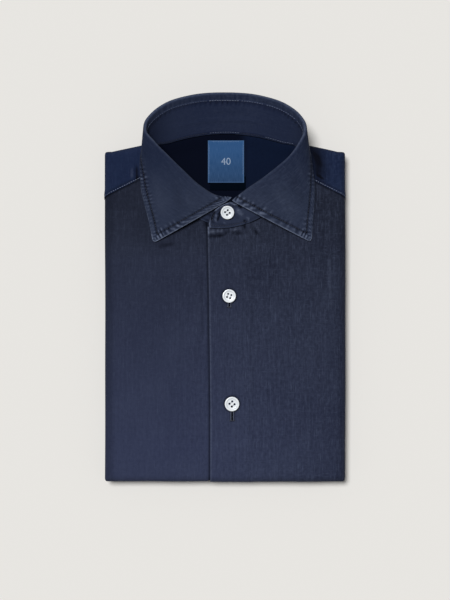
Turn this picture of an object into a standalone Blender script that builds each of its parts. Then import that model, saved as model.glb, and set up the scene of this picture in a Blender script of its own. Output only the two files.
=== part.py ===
"""A dress shirt, buttoned and folded into a flat pack, lying on its back.

Metres, +Z up. +Y runs from the lower fold to the collar, and +X to the left front, which laps
over the right front. The origin is on the table, under the middle of the pack.
"""

import math

import bmesh
import bpy
import numpy as np
from mathutils import Vector

MM = 0.001


def table(columns, *rows):
    """Rows of millimetres, read as one array of metres for each named column."""
    return {name: np.array([row[i] for row in rows]) * MM for i, name in enumerate(columns)}


def points(rows, name):
    """The 3-D points that a table holds as columns name_x, name_y and name_z."""
    return np.column_stack([rows[name + "_x"], rows[name + "_y"], rows[name + "_z"]])


# ---- Driving sizes of the folded body --------------------------------------------------------
HALF_WIDTH = 115.5 * MM          # middle of the pack to its side folds
LOWER_FOLD_Y = -185.5 * MM       # where the fronts turn under
TOP_Z = 24.0 * MM                # outer face of the right front above the table
FOLD_RADIUS = 7.0 * MM           # roundness of every outer fold
FOLD_TURN = math.radians(135.0)  # how far the outer cloth turns round a fold
CORNER_POWER = 6.0               # 2 would make the pack's corners round, and a higher one squarer
CLOTH = 1.2 * MM                 # wall of the fronts, the yoke and its lining
COLLAR_CLOTH = 1.6 * MM          # wall of the collar, which is two plies and a stiffener
SEAM_GAP = 0.4 * MM              # space between neighbouring pieces

SIDE_X = HALF_WIDTH - FOLD_RADIUS       # where a side fold starts to turn
LOWER_Y = LOWER_FOLD_Y + FOLD_RADIUS    # where the lower fold starts to turn
FOLD_RUN = FOLD_RADIUS * FOLD_TURN      # cloth that goes round a fold
CORE_LIFT = -(CLOTH + SEAM_GAP)         # the hidden layers lie this far under the outer face

# Outer edge of the shoulder fold, at a distance x from the middle.
SHOULDER = table(
    ("x", "y"),
    (0.0, 149.8),
    (16.0, 148.9),
    (32.0, 146.3),
    (56.0, 140.8),
    (67.0, 138.8),
    (79.0, 137.9),
    (113.3, 130.2),
    (115.5, 129.7),
)

# The yoke seam slants up the front of each shoulder, from the side fold towards the neck.
YOKE_SEAM_SIDE_Y = 88.2 * MM
YOKE_SEAM_SLOPE = 0.50

# Neck edge of the yoke: in front, its height up the pack; behind, cloth past the shoulder line.
YOKE_NECK_BACK = table(("x", "past"), (54.0, 11.7), (60.0, 10.0), (66.0, 6.3), (70.0, 1.6))
YOKE_NECK_FRONT = table(("x", "y"), (73.0, 127.0), (74.4, 119.0), (75.4, 108.6))

# The folded front edge of the left front's placket.
PLACKET_EDGE = table(("y", "x"), (-200.0, -14.2), (-110.0, -14.2), (-10.0, -15.4), (60.0, -16.8))
PLACKET_EDGE_BLEND = 30.0 * MM   # width over which the cloth follows that edge
PLACKET_LIFT = 1.8 * MM          # the placket rides on the right front
PLACKET_INNER_X = 22.0 * MM      # where the folded-in ply of the placket ends
PLACKET_STEP = 8.0 * MM          # width of the soft step down from it
FRONT_LIFT = 0.2 * MM            # the rest of the left front
PLACKET_TUCK = 1.2 * MM          # the lower fold is pressed in this much where the placket rides
TUCK_START_X = -18.0 * MM
TUCK_RAMP = 6.0 * MM
TUCK_RUN = 30.0 * MM             # height over which the press fades

# Soft swells and hollows of the pack: their middle, their reach and their height on the top face.
SWELLS = table(
    ("x", "y", "reach_x", "reach_y", "height"),
    (-66.0, -48.0, 40.0, 70.0, 0.7),
    (-30.0, 8.0, 24.0, 60.0, -0.6),
    (66.0, -92.0, 44.0, 62.0, 0.6),
    (52.0, -8.0, 30.0, 44.0, -0.5),
    (-52.0, -142.0, 44.0, 34.0, -0.5),
)

# Edges of the folded back, sleeves and tails under the fronts: height, reach past the fold line.
LAYERS = table(
    ("z", "out"),
    (12.3, 2.2),
    (11.5, 2.6),
    (11.1, 5.0),
    (9.6, 5.8),
    (8.1, 5.1),
    (7.7, 3.2),
    (7.3, 5.1),
    (5.8, 5.9),
    (4.3, 5.2),
    (3.9, 3.3),
    (3.5, 4.9),
    (2.0, 5.6),
    (0.6, 4.8),
    (0.0, 3.4),
)
LAYER_WANDER = 0.45 * MM         # how far the layer edges below this height wander in and out
WANDER_TOP_Z = 11.3 * MM
WANDER_ALONG = (46.0, 34.0)      # turns of the wander per metre of x and y, in radians
WANDER_SHIFT = 1.9               # and from one layer to the next

# The hollow inside the neck, down to the folded back.
NECK_FLOOR_Z = 12.6 * MM
NECK_SHELF = 3.0 * MM            # it runs this far outside the neck seam
NECK_MIDDLE = np.array((0.0, 105.0)) * MM
NECK_SIDE_END = 132.0 * MM       # behind this its sides run straight back
BEHIND_PACK = 175.0 * MM
NECK_SHOULDER_Y = 112.0 * MM     # the fronts' neck edges end below this height

# ---- Collar ----------------------------------------------------------------------------------
# Sections from the right front's end, round the back, to the left front's end. fold is the top
# of the roll, seam the foot of the stand, edge the free edge of the leaf.
COLLAR = table(
    ("fold_x", "fold_y", "fold_z", "seam_x", "seam_y", "seam_z", "edge_x", "edge_y", "edge_z"),
    (6.1, 87.4, 30.4, 5.7, 60.8, 25.2, -68.9, 43.3, 25.5),
    (-7.6, 89.0, 33.2, -13.4, 62.6, 25.2, -70.0, 50.5, 25.6),
    (-23.8, 98.3, 37.2, -33.5, 71.8, 25.2, -73.1, 65.8, 25.7),
    (-39.8, 112.6, 42.0, -50.7, 84.9, 25.2, -77.3, 82.5, 25.8),
    (-54.8, 126.9, 46.2, -64.1, 97.2, 25.2, -80.2, 97.0, 25.9),
    (-67.2, 139.4, 48.8, -73.4, 109.2, 25.2, -80.8, 107.8, 25.9),
    (-75.2, 149.9, 49.2, -75.8, 120.3, 25.2, -80.8, 119.0, 25.8),
    (-74.6, 158.3, 48.2, -73.6, 129.8, 25.0, -79.2, 131.0, 25.9),
    (-69.2, 165.7, 46.6, -67.4, 136.6, 23.0, -77.2, 141.0, 21.5),
    (-57.6, 174.7, 44.0, -56.0, 139.7, 18.3, -70.0, 158.0, 5.0),
    (-33.1, 182.9, 42.2, -31.7, 145.9, 17.7, -40.5, 174.5, 2.2),
    (0.0, 185.7, 41.6, 0.0, 149.3, 17.6, 0.0, 181.0, 2.0),
    (34.0, 182.7, 42.2, 32.7, 145.9, 17.7, 41.4, 174.5, 2.2),
    (59.2, 173.5, 44.0, 56.8, 139.7, 18.3, 71.0, 158.0, 5.0),
    (70.5, 164.0, 46.6, 68.2, 136.6, 23.0, 78.0, 141.0, 21.5),
    (74.9, 156.6, 48.2, 74.2, 129.8, 25.0, 80.2, 131.6, 26.0),
    (75.2, 149.0, 49.2, 76.4, 120.3, 25.2, 82.4, 119.0, 26.0),
    (70.2, 138.2, 48.8, 74.4, 109.2, 25.3, 84.6, 107.5, 26.1),
    (61.4, 126.0, 46.2, 67.4, 97.2, 25.5, 85.8, 96.0, 26.1),
    (49.2, 115.4, 42.8, 55.0, 84.7, 26.0, 85.4, 81.7, 26.0),
    (35.1, 104.8, 38.9, 39.2, 71.6, 26.5, 84.0, 65.5, 25.9),
    (21.9, 96.1, 35.2, 23.9, 63.4, 27.0, 83.2, 51.6, 25.8),
    (6.7, 84.5, 32.2, 7.6, 58.8, 27.2, 83.1, 43.9, 25.7),
)
COLLAR_STATIONS = 61             # sections along the finished collar
HALF_COLLAR = COLLAR_STATIONS // 2
ROLL_RADIUS = 1.35 * MM          # of the fold, at mid wall
ROLL_RADIUS_FRONT = 2.9 * MM     # wider at the centre front, where the stand's ends lap inside it
ROLL_WIDE_SHARE = 0.16           # share of the collar's length over which it narrows
ROLL_SEAM_BACK = 4.4 * MM        # stand seam below the roll, at the back
ROLL_SEAM_FRONT = 1.6 * MM       # and at the front ends
ROLL_SEAM_SHARE = 0.3            # share of the collar's length over which it drops
JOINT_GAP = 0.9 * MM             # between the stand's top and the leaf
ROLL_STEPS = 6
LEAF_STEPS = 5
LEAF_LEAVE_TURN = math.radians(12.0)  # the roll turns this much past the line to the edge
LEAF_CROWN_FRONT = 2.0 * MM      # how far the leaf bows out between fold and edge, at the points
LEAF_CROWN_BACK = 0.2 * MM
CROWN_SHARES = (0.14, 0.26)      # shares of the collar's length between which the crown fades

# The stand's ends past the centre front: the right one runs under, the left one laps over.
STAND_UNDER = table(
    ("top_x", "top_y", "top_z", "foot_x", "foot_y", "foot_z"),
    (21.0, 83.5, 26.8, 22.0, 65.4, 24.9),
    (13.0, 82.6, 26.6, 14.0, 62.0, 25.2),
)
STAND_OVER = table(
    ("top_x", "top_y", "top_z", "foot_x", "foot_y", "foot_z"),
    (5.6, 82.2, 29.4, 4.6, 58.3, 27.2),
    (2.0, 81.6, 29.8, 1.0, 58.0, 27.2),
    (-2.6, 79.9, 30.1, -3.0, 57.8, 27.2),
    (-7.0, 77.0, 30.2, -7.0, 57.8, 27.2),
    (-10.9, 73.2, 29.6, -10.4, 57.9, 27.2),
    (-13.6, 68.2, 28.6, -13.0, 58.1, 27.2),
    (-15.1, 62.2, 27.6, -14.8, 58.3, 27.2),
)
STAND_ROWS = 3

# ---- Yoke lining, label and tab --------------------------------------------------------------
LINING_Z = 14.3 * MM             # upper face of the yoke lining inside the neck
LINING_FRONT_HALF = 17.0 * MM    # half width and height of its hidden front edge
LINING_FRONT_Y = 66.0 * MM
LINING_BACK_Y = 130.0 * MM       # its neck edge follows the seam behind this height
LINING_RISE_RUN = 16.0 * MM      # it lifts to the neck seam over this length
LINING_INSET = 1.5 * MM          # its neck edge lies this far inside the seam
LINING_DROP = 1.2 * MM           # and this far below it
LINING_TOP_Z = 21.5 * MM
LINING_ROWS = (0.0, 0.2, 0.4, 0.6, 0.72, 0.8, 0.86, 0.92, 0.96, 1.0)
LINING_COLUMNS = 19
LABEL_X = (-16.4 * MM, 18.3 * MM)
LABEL_Y = (102.0 * MM, 142.4 * MM)
TAB_X = (-14.4 * MM, 19.8 * MM)
TAB_Y = (94.9 * MM, 108.2 * MM)
LABEL_WALL = 1.0 * MM
LABEL_GAP = 0.3 * MM
LABEL_STEP_Y = 111.0 * MM        # above this the label comes down from the tab to the lining
LABEL_STEP_RUN = 9.0 * MM

# ---- Buttons ---------------------------------------------------------------------------------
# Where each stands, its diameter, and how far its holes are turned.
FRONT_BUTTONS = {
    "front_button_upper": (4.0 * MM, -7.2 * MM, 12.7 * MM, math.radians(25.0)),
    "front_button_lower": (6.7 * MM, -110.4 * MM, 13.8 * MM, math.radians(-5.0)),
}
COLLAR_BUTTON = (2.3 * MM, 72.6 * MM, 12.7 * MM, math.radians(-9.0))
BUTTON_HEIGHT = 2.6 * MM
# Half the outline, in shares of the radius and of the height: well, rim, side and foot.
BUTTON_PROFILE = (
    (0.0, 0.66),
    (0.56, 0.66),
    (0.68, 0.94),
    (0.82, 1.0),
    (0.96, 0.82),
    (1.0, 0.55),
    (0.86, 0.08),
    (0.72, 0.0),
    (0.0, 0.0),
)
BUTTON_STEPS = 24
HOLE_COUNT = 4
HOLE_RADIUS = 0.8 * MM
HOLE_CIRCLE = 2.2 * MM           # the holes stand on this radius
HOLE_SIDES = 6

# ---- Grid lines of the sheets ----------------------------------------------------------------
FOLD_STEPS = 5
FRONT_ROWS = 10
CORE_ROWS = 10
CORE_COLUMNS = [v * MM for v in (-108.5, -80.0, -50.0, -18.0, -12.0, 22.0, 30.0, 56.0, 82.0, 108.5)]
RIGHT_FRONT_COLUMNS = [
    v * MM for v in (-108.5, -92.0, -82.0, -74.5, -66.0, -52.0, -36.0, -18.0, -12.0, 4.0, 20.0)
]
LEFT_FRONT_COLUMNS = [
    v * MM
    for v in (-16.8, -8.0, 4.0, 14.0, 22.0, 26.0, 30.0, 42.0, 56.0, 68.0, 75.2, 82.0, 94.0, 108.5)
]
YOKE_COLUMNS = [
    v * MM
    for v in (108.5, 97.0, 86.0, 78.0, 75.6, 74.6, 73.4, 70.6, 66.0, 60.0, 54.0, 42.0, 28.0, 14.0)
]
YOKE_ROWS = 10
YOKE_FLAT_ROWS = 4

# Base colour and roughness.
DENIM = ((0.030, 0.040, 0.080, 1.0), 0.85)
DENIM_INSIDE = ((0.014, 0.022, 0.052, 1.0), 0.85)
DENIM_YOKE = ((0.018, 0.030, 0.075, 1.0), 0.80)
LABEL_BLUE = ((0.045, 0.110, 0.260, 1.0), 0.55)
TAB_BLACK = ((0.004, 0.006, 0.012, 1.0), 0.70)
PEARL = ((0.780, 0.800, 0.790, 1.0), 0.25)


# ---- Helpers ---------------------------------------------------------------------------------
def clear_scene():
    for thing in list(bpy.data.objects):
        bpy.data.objects.remove(thing, do_unlink=True)


def collection(name):
    made = bpy.data.collections.new(name)
    bpy.context.scene.collection.children.link(made)
    return made


def material(name, finish):
    """A Principled material with a base colour and a roughness."""
    colour, roughness = finish
    made = bpy.data.materials.new(name)
    made.use_nodes = True
    shader = made.node_tree.nodes["Principled BSDF"]
    shader.inputs["Base Color"].default_value = colour
    shader.inputs["Roughness"].default_value = roughness
    shader.inputs["Metallic"].default_value = 0.0
    return made


def smooth_step(value):
    """0 below 0, 1 above 1, and a soft curve between."""
    t = min(max(value, 0.0), 1.0)
    return t * t * (3.0 - 2.0 * t)


def smooth_rows(knots, rows, stations):
    """Reads a table smoothly: a cubic through every row, at each station along the knots."""
    slopes = np.gradient(rows, knots, axis=0)
    index = np.clip(np.searchsorted(knots, stations, side="right") - 1, 0, len(knots) - 2)
    step = (knots[index + 1] - knots[index])[:, None]
    s = (stations - knots[index])[:, None] / step
    start, end = rows[index], rows[index + 1]
    leave, arrive = slopes[index] * step, slopes[index + 1] * step
    return (
        (2 * s**3 - 3 * s**2 + 1) * start
        + (s**3 - 2 * s**2 + s) * leave
        + (-2 * s**3 + 3 * s**2) * end
        + (s**3 - s**2) * arrive
    )


def unit(vectors):
    return vectors / np.linalg.norm(vectors, axis=-1, keepdims=True)


def placed_grid(columns, rows, place):
    """A grid whose points place(column, row) puts in space."""
    grid = bmesh.new()
    bmesh.ops.create_grid(
        grid, x_segments=len(columns) - 1, y_segments=len(rows) - 1, size=0.5
    )
    for vertex in grid.verts:
        i = round((vertex.co.x + 0.5) * (len(columns) - 1))
        j = round((vertex.co.y + 0.5) * (len(rows) - 1))
        vertex.co = place(columns[i], rows[j])
    return grid


def sheet(name, grid, wall, side, finish, parent):
    """A cloth piece: a grid thickened by Solidify.

    side is -1 where the grid is the outer face, and 0 where it is the middle of the wall.
    """
    mesh = bpy.data.meshes.new(name)
    grid.to_mesh(mesh)
    grid.free()
    piece = bpy.data.objects.new(name, mesh)
    parent.objects.link(piece)
    mesh.materials.append(finish)
    mesh.shade_smooth()
    thicken = piece.modifiers.new("wall", "SOLIDIFY")
    thicken.thickness = wall
    thicken.offset = side
    return piece


def cutter_object(name, mesh, matrix, cutters):
    """An object that only cuts others."""
    cutter = bpy.data.objects.new(name, mesh)
    cutter.matrix_world = matrix
    cutters.objects.link(cutter)
    cutter.hide_render = True
    cutter.display_type = "WIRE"
    return cutter


def cut(piece, name, cutter):
    modifier = piece.modifiers.new(name, "BOOLEAN")
    modifier.operation = "DIFFERENCE"
    modifier.object = cutter


# ---- The folded body -------------------------------------------------------------------------
def shoulder_line(x):
    """Height up the pack where the shoulder fold starts to turn."""
    inside = min(abs(x), SIDE_X)
    return float(np.interp(inside, SHOULDER["x"], SHOULDER["y"])) - FOLD_RADIUS


def swell(x, y):
    """How much taller or lower the pack lies at a point, as a share of its height."""
    spread = ((x - SWELLS["x"]) / SWELLS["reach_x"]) ** 2
    spread += ((y - SWELLS["y"]) / SWELLS["reach_y"]) ** 2
    return float((SWELLS["height"] * np.exp(-spread)).sum() / TOP_Z)


def tuck(x, y):
    """How far the lower fold is pressed in under the placket."""
    across = smooth_step((x - TUCK_START_X) / TUCK_RAMP)
    across *= 1.0 - smooth_step((x - PLACKET_INNER_X) / PLACKET_STEP)
    return PLACKET_TUCK * across * (1.0 - smooth_step((y - LOWER_Y) / TUCK_RUN))


def fold_frame(x, y):
    """Where flat cloth at (x, y) leaves the top face: that point, its heading and its overrun."""
    base = Vector((min(max(x, -SIDE_X), SIDE_X), min(max(y, LOWER_Y), shoulder_line(x))))
    over = Vector((x, y)) - base
    reach = max(abs(over.x), abs(over.y))
    if reach == 0.0:
        return base, over, reach
    shares = (abs(over.x) / reach) ** CORNER_POWER + (abs(over.y) / reach) ** CORNER_POWER
    return base, over / (reach * shares ** (1.0 / CORNER_POWER)), reach


def folded_point(x, y, lift=0.0):
    """A point of flat cloth laid over the pack, turned round its folds, and lifted off its face.

    The swells scale its height, so the underside stays flat.
    """
    base, heading, reach = fold_frame(x, y)
    turn = reach / FOLD_RADIUS
    radius = FOLD_RADIUS + lift - tuck(x, y)
    flat = base + heading * (radius * math.sin(turn))
    height = TOP_Z - FOLD_RADIUS + radius * math.cos(turn)
    return Vector((flat.x, flat.y, height * (1.0 + swell(flat.x, flat.y))))


def fold_stations():
    """Cloth lengths past a fold line, from its hidden end back to the line."""
    return [FOLD_RUN * (1.0 - i / FOLD_STEPS) for i in range(FOLD_STEPS)]


def core_place(x, row):
    """Flat place of a point of the hidden layers: row is 0 at the lower fold, 1 at the shoulder."""
    top = shoulder_line(x)
    if row < 0.0:
        return x, LOWER_Y + row
    if row > 1.0:
        return x, top + row - 1.0
    return x, LOWER_Y + row * (top - LOWER_Y)


def add_layer_edges(solid, frames):
    """Runs the rim of the core down to the table, in and out over the edges of its layers."""
    rim = [edge for edge in solid.edges if edge.is_boundary]
    for level, (height, out) in enumerate(zip(LAYERS["z"], LAYERS["out"])):
        grown = bmesh.ops.extrude_edge_only(solid, edges=rim)["geom"]
        fresh = {v for v in grown if isinstance(v, bmesh.types.BMVert)}
        rim = [e for e in grown if isinstance(e, bmesh.types.BMEdge) and e.is_boundary]
        lower = {}
        for above, frame in frames.items():
            for edge in above.link_edges:
                if edge.other_vert(above) in fresh:
                    lower[edge.other_vert(above)] = frame
        frames = lower
        for vertex, (base, heading, _) in frames.items():
            phase = WANDER_ALONG[0] * base.x + WANDER_ALONG[1] * base.y + WANDER_SHIFT * level
            wander = LAYER_WANDER * math.sin(phase) * (0.0 < height < WANDER_TOP_Z)
            flat = base + heading * (out + wander)
            vertex.co = (flat.x, flat.y, height)
    bmesh.ops.holes_fill(solid, edges=rim)


def folded_layers(finish, parent, cutters):
    """The hidden back, sleeves and tails, as one solid with the edges of its layers showing."""
    run = fold_stations()
    columns = [-SIDE_X - d for d in run] + CORE_COLUMNS + [SIDE_X + d for d in reversed(run)]
    rows = [-d for d in run] + list(np.linspace(0.0, 1.0, CORE_ROWS + 1))
    rows += [1.0 + d for d in reversed(run)]
    solid = placed_grid(columns, rows, lambda x, row: Vector((*core_place(x, row), 0.0)))
    frames = {v: fold_frame(v.co.x, v.co.y) for v in solid.verts if v.is_boundary}
    for vertex in solid.verts:
        vertex.co = folded_point(vertex.co.x, vertex.co.y, CORE_LIFT)
    add_layer_edges(solid, frames)
    bmesh.ops.recalc_face_normals(solid, faces=solid.faces)

    mesh = bpy.data.meshes.new("folded_layers")
    solid.to_mesh(mesh)
    solid.free()
    piece = bpy.data.objects.new("folded_layers", mesh)
    parent.objects.link(piece)
    mesh.materials.append(finish)
    cut(piece, "neck_hollow", neck_cutter(cutters))


def neck_cutter(cutters):
    """The neck seam's outline grown outwards and left open to the back, as a deep block."""
    seam = collar_sections()["seam"][:, :2]
    seam = seam + unit(seam - NECK_MIDDLE) * NECK_SHELF
    right = [point for point in seam[:HALF_COLLAR] if point[1] < NECK_SIDE_END]
    left = [point for point in seam[HALF_COLLAR:] if point[1] < NECK_SIDE_END]
    outline = right + [(right[-1][0], BEHIND_PACK), (left[0][0], BEHIND_PACK)] + left

    shape = bpy.data.curves.new("neck_cutter", "CURVE")
    shape.dimensions = "2D"
    shape.fill_mode = "BOTH"
    shape.extrude = TOP_Z
    spline = shape.splines.new("POLY")
    spline.points.add(len(outline) - 1)
    for slot, (x, y) in zip(spline.points, outline):
        slot.co = (x, y, 0.0, 1.0)
    spline.use_cyclic_u = True
    drawn = bpy.data.objects.new("neck_cutter_outline", shape)
    drawn.location.z = NECK_FLOOR_Z + shape.extrude
    cutters.objects.link(drawn)
    bpy.context.view_layer.update()

    evaluated = drawn.evaluated_get(bpy.context.evaluated_depsgraph_get())
    mesh = bpy.data.meshes.new_from_object(evaluated)
    welded = bmesh.new()
    welded.from_mesh(mesh)
    bmesh.ops.remove_doubles(welded, verts=welded.verts, dist=0.01 * MM)
    bmesh.ops.recalc_face_normals(welded, faces=welded.faces)
    welded.to_mesh(mesh)
    welded.free()
    cutter = cutter_object("neck_cutter", mesh, drawn.matrix_world.copy(), cutters)
    bpy.data.objects.remove(drawn)
    return cutter


def placket_lift(x):
    """Height of the left front above the pack: its placket rides on the right front."""
    step = smooth_step((x - PLACKET_INNER_X) / PLACKET_STEP)
    return PLACKET_LIFT + (FRONT_LIFT - PLACKET_LIFT) * step


def yoke_seam_y(x):
    """Height of the yoke seam on the front of either shoulder."""
    return YOKE_SEAM_SIDE_Y + (HALF_WIDTH - abs(x)) * YOKE_SEAM_SLOPE


def neck_edge(end, seam):
    """Neck edge of a front, from the end of the stand to the shoulder, in order of x."""
    edge = np.vstack((end, seam))[:, :2]
    edge = edge[edge[:, 1] < NECK_SHOULDER_Y]
    return edge[np.argsort(edge[:, 0])]


def front_y(x, row, edge):
    """Flat height of a front's point: row is 0 at the lower fold, 1 at the neck or yoke seam."""
    if row < 0.0:
        return LOWER_Y + row
    top = yoke_seam_y(x) - SEAM_GAP
    if abs(x) < SIDE_X:
        top = min(top, float(np.interp(x, edge[:, 0], edge[:, 1])) + COLLAR_CLOTH / 2.0)
    return LOWER_Y + row * (top - LOWER_Y)


def fronts(finish, parent):
    """The right front, and the left front that laps over it."""
    seam = collar_sections()["seam"]
    right_edge = neck_edge(points(STAND_UNDER, "foot"), seam[:HALF_COLLAR])
    left_edge = neck_edge(points(STAND_OVER, "foot"), seam[HALF_COLLAR:])

    def place_right(x, row):
        return folded_point(x, front_y(x, row, right_edge))

    def place_left(x, row):
        y = front_y(x, row, left_edge)
        first = PLACKET_EDGE["x"][-1]
        shift = float(np.interp(y, PLACKET_EDGE["y"], PLACKET_EDGE["x"])) - first
        x_here = x + shift * (1.0 - smooth_step((x - first) / PLACKET_EDGE_BLEND))
        return folded_point(x_here, y, placket_lift(x_here))

    run = fold_stations()
    rows = [-d for d in run] + list(np.linspace(0.0, 1.0, FRONT_ROWS + 1))
    right_columns = [-SIDE_X - d for d in run] + RIGHT_FRONT_COLUMNS
    left_columns = LEFT_FRONT_COLUMNS + [SIDE_X + d for d in reversed(run)]
    right = placed_grid(right_columns, rows, place_right)
    left = placed_grid(left_columns, rows, place_left)
    sheet("right_front", right, CLOTH, -1.0, finish, parent)
    sheet("left_front", left, CLOTH, -1.0, finish, parent)


def yoke_start_y(x):
    """Flat height of the yoke's lower edge: its front seam, or its neck edge."""
    x = abs(x)
    if x >= YOKE_NECK_FRONT["x"][-1]:
        return yoke_seam_y(x)
    behind = [shoulder_line(v) for v in YOKE_NECK_BACK["x"]] + YOKE_NECK_BACK["past"]
    across = np.concatenate((YOKE_NECK_BACK["x"], YOKE_NECK_FRONT["x"]))
    heights = np.concatenate((behind, YOKE_NECK_FRONT["y"]))
    if x < across[0]:
        return shoulder_line(x) + YOKE_NECK_BACK["past"][0]
    return float(np.interp(x, across, heights))


def yoke(finish, parent):
    """The yoke over both shoulders, and the band of it that shows under the back of the collar."""
    flat_share = YOKE_FLAT_ROWS / YOKE_ROWS

    def place(x, row):
        start, turn = yoke_start_y(x), shoulder_line(x)
        if start >= turn:
            return folded_point(x, start + (turn + FOLD_RUN - start) * row)
        if row <= flat_share:
            return folded_point(x, start + (turn - start) * row / flat_share)
        return folded_point(x, turn + FOLD_RUN * (row - flat_share) / (1.0 - flat_share))

    half = [SIDE_X + d for d in fold_stations()] + YOKE_COLUMNS
    columns = [-v for v in half] + [0.0] + half[::-1]
    rows = list(np.linspace(0.0, 1.0, YOKE_ROWS + 1))
    sheet("yoke", placed_grid(columns, rows, place), CLOTH, -1.0, finish, parent)


# ---- The collar ------------------------------------------------------------------------------
def along_collar(from_end, limits, ends, middle):
    """A size that changes from its value at the collar's ends to another towards its middle."""
    start, stop = limits
    share = np.array([smooth_step((s - start) / (stop - start)) for s in from_end])
    return (ends + (middle - ends) * share)[:, None]


def collar_sections():
    """Smooth sections of the collar, read from its table, with the axis of the roll worked out."""
    lengths = np.linalg.norm(np.diff(points(COLLAR, "fold"), axis=0), axis=1)
    knots = np.concatenate(([0.0], np.cumsum(lengths)))
    stations = np.linspace(0.0, knots[-1], COLLAR_STATIONS)
    fold, seam, edge = (
        smooth_rows(knots, points(COLLAR, name), stations) for name in ("fold", "seam", "edge")
    )
    along = unit(np.gradient(fold, stations, axis=0))
    outward = unit(np.cross(unit(fold - seam), along))
    upward = np.cross(along, outward)
    share = stations / stations[-1]
    from_end = np.minimum(share, 1.0 - share)
    radius = along_collar(from_end, (0.0, ROLL_WIDE_SHARE), ROLL_RADIUS_FRONT, ROLL_RADIUS)
    drop = along_collar(from_end, (0.0, ROLL_SEAM_SHARE), ROLL_SEAM_FRONT, ROLL_SEAM_BACK)
    centre = fold - (radius + COLLAR_CLOTH / 2.0) * upward
    stand_top = centre - radius * outward
    return {
        "seam": seam,
        "edge": edge,
        "along": along,
        "outward": outward,
        "upward": upward,
        "centre": centre,
        "radius": radius[:, 0],
        "stand_top": stand_top,
        "joint": stand_top - unit(stand_top - seam) * drop,
        "crown": along_collar(from_end, CROWN_SHARES, LEAF_CROWN_FRONT, LEAF_CROWN_BACK)[:, 0],
    }


def collar_stand(finish, parent):
    """The stand: a band round the neck whose rounded left end laps over the right one."""
    collar = collar_sections()
    foot = np.vstack((points(STAND_UNDER, "foot"), collar["seam"], points(STAND_OVER, "foot")))
    top = np.vstack((points(STAND_UNDER, "top"), collar["joint"], points(STAND_OVER, "top")))

    def place(column, row):
        return Vector(foot[column] + (top[column] - foot[column]) * row)

    rows = list(np.linspace(0.0, 1.0, STAND_ROWS + 1))
    grid = placed_grid(range(len(foot)), rows, place)
    sheet("collar_stand", grid, COLLAR_CLOTH, 0.0, finish, parent)


def leaf_section(collar, i):
    """Mid-wall points of one section of the leaf: its seam, the roll, then the fall to its edge.

    Past the ridge the points also slide along the fold, in step with how far they have come down,
    so that the leaf's front edges run straight from the ridge to the points of the collar.
    """
    outward, upward, along = collar["outward"][i], collar["upward"][i], collar["along"][i]
    centre, radius = collar["centre"][i], collar["radius"][i]
    joint, stand_top = collar["joint"][i], collar["stand_top"][i]
    reach = collar["edge"][i] - centre
    edge_out, edge_up, slide = reach @ outward, reach @ upward, reach @ along
    turn = math.atan2(edge_out, edge_up)
    turn = math.pi if turn < math.pi / 4.0 else min(turn + LEAF_LEAVE_TURN, math.pi)
    fall = [
        (-radius * math.cos(turn * k / ROLL_STEPS), radius * math.sin(turn * k / ROLL_STEPS))
        for k in range(ROLL_STEPS + 1)
    ]
    start, edge = np.array(fall[-1]), np.array((edge_out, edge_up))
    bow = (start + edge) / 2.0 + start / radius * collar["crown"][i]
    for k in range(1, LEAF_STEPS + 1):
        s = k / LEAF_STEPS
        fall.append((1.0 - s) ** 2 * start + 2.0 * s * (1.0 - s) * bow + s**2 * edge)
    section = [joint + unit(stand_top - joint) * JOINT_GAP]
    for k, (out, up) in enumerate(fall):
        down = (radius - up) / (radius - edge_up) if 2 * k > ROLL_STEPS else 0.0
        section.append(centre + outward * out + upward * up + along * slide * down)
    return section


def collar_leaf(finish, parent):
    """The leaf: from the stand's seam up over the roll, then down and out to its free edge."""
    collar = collar_sections()
    sections = [leaf_section(collar, i) for i in range(COLLAR_STATIONS)]
    grid = placed_grid(
        range(COLLAR_STATIONS), range(len(sections[0])), lambda i, j: Vector(sections[i][j])
    )
    sheet("collar_leaf", grid, COLLAR_CLOTH, 0.0, finish, parent)


# ---- Inside the neck -------------------------------------------------------------------------
def lining_edge():
    """Neck edge of the yoke lining: the back of the neck seam, moved in and down."""
    seam = collar_sections()["seam"]
    edge = seam[seam[:, 1] > LINING_BACK_Y]
    inward = np.array((0.0, LINING_FRONT_Y, 0.0)) - edge
    inward[:, 2] = 0.0
    edge = edge + unit(inward) * LINING_INSET
    edge[:, 2] = np.minimum(edge[:, 2] - LINING_DROP, LINING_TOP_Z)
    return edge


def lining_z(x, y, edge):
    """Upper face of the yoke lining, which lifts to the neck seam at the back."""
    back_y = float(np.interp(x, edge[:, 0], edge[:, 1]))
    back_z = float(np.interp(x, edge[:, 0], edge[:, 2]))
    lift = smooth_step((y - back_y + LINING_RISE_RUN) / LINING_RISE_RUN)
    return LINING_Z + (back_z - LINING_Z) * lift


def yoke_lining(finish, parent):
    """The inner yoke, seen through the neck opening, which carries the label."""
    edge = lining_edge()
    shares = np.linspace(-1.0, 1.0, len(edge))

    def place(column, row):
        back_x = float(np.interp(column, shares, edge[:, 0]))
        back_y = float(np.interp(column, shares, edge[:, 1]))
        front_x = column * LINING_FRONT_HALF
        x = front_x + (back_x - front_x) * row
        y = LINING_FRONT_Y + (back_y - LINING_FRONT_Y) * row
        return Vector((x, y, lining_z(x, y, edge)))

    grid = placed_grid(list(np.linspace(-1.0, 1.0, LINING_COLUMNS)), LINING_ROWS, place)
    sheet("yoke_lining", grid, CLOTH, -1.0, finish, parent)


def neck_tab(finish, parent):
    """The dark tab under the label's lower end, laid on the yoke lining."""
    edge = lining_edge()

    def place(x, y):
        return Vector((x, y, lining_z(x, y, edge) + LABEL_GAP + LABEL_WALL))

    grid = placed_grid(list(np.linspace(*TAB_X, 4)), list(np.linspace(*TAB_Y, 4)), place)
    sheet("neck_tab", grid, LABEL_WALL, -1.0, finish, parent)


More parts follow.
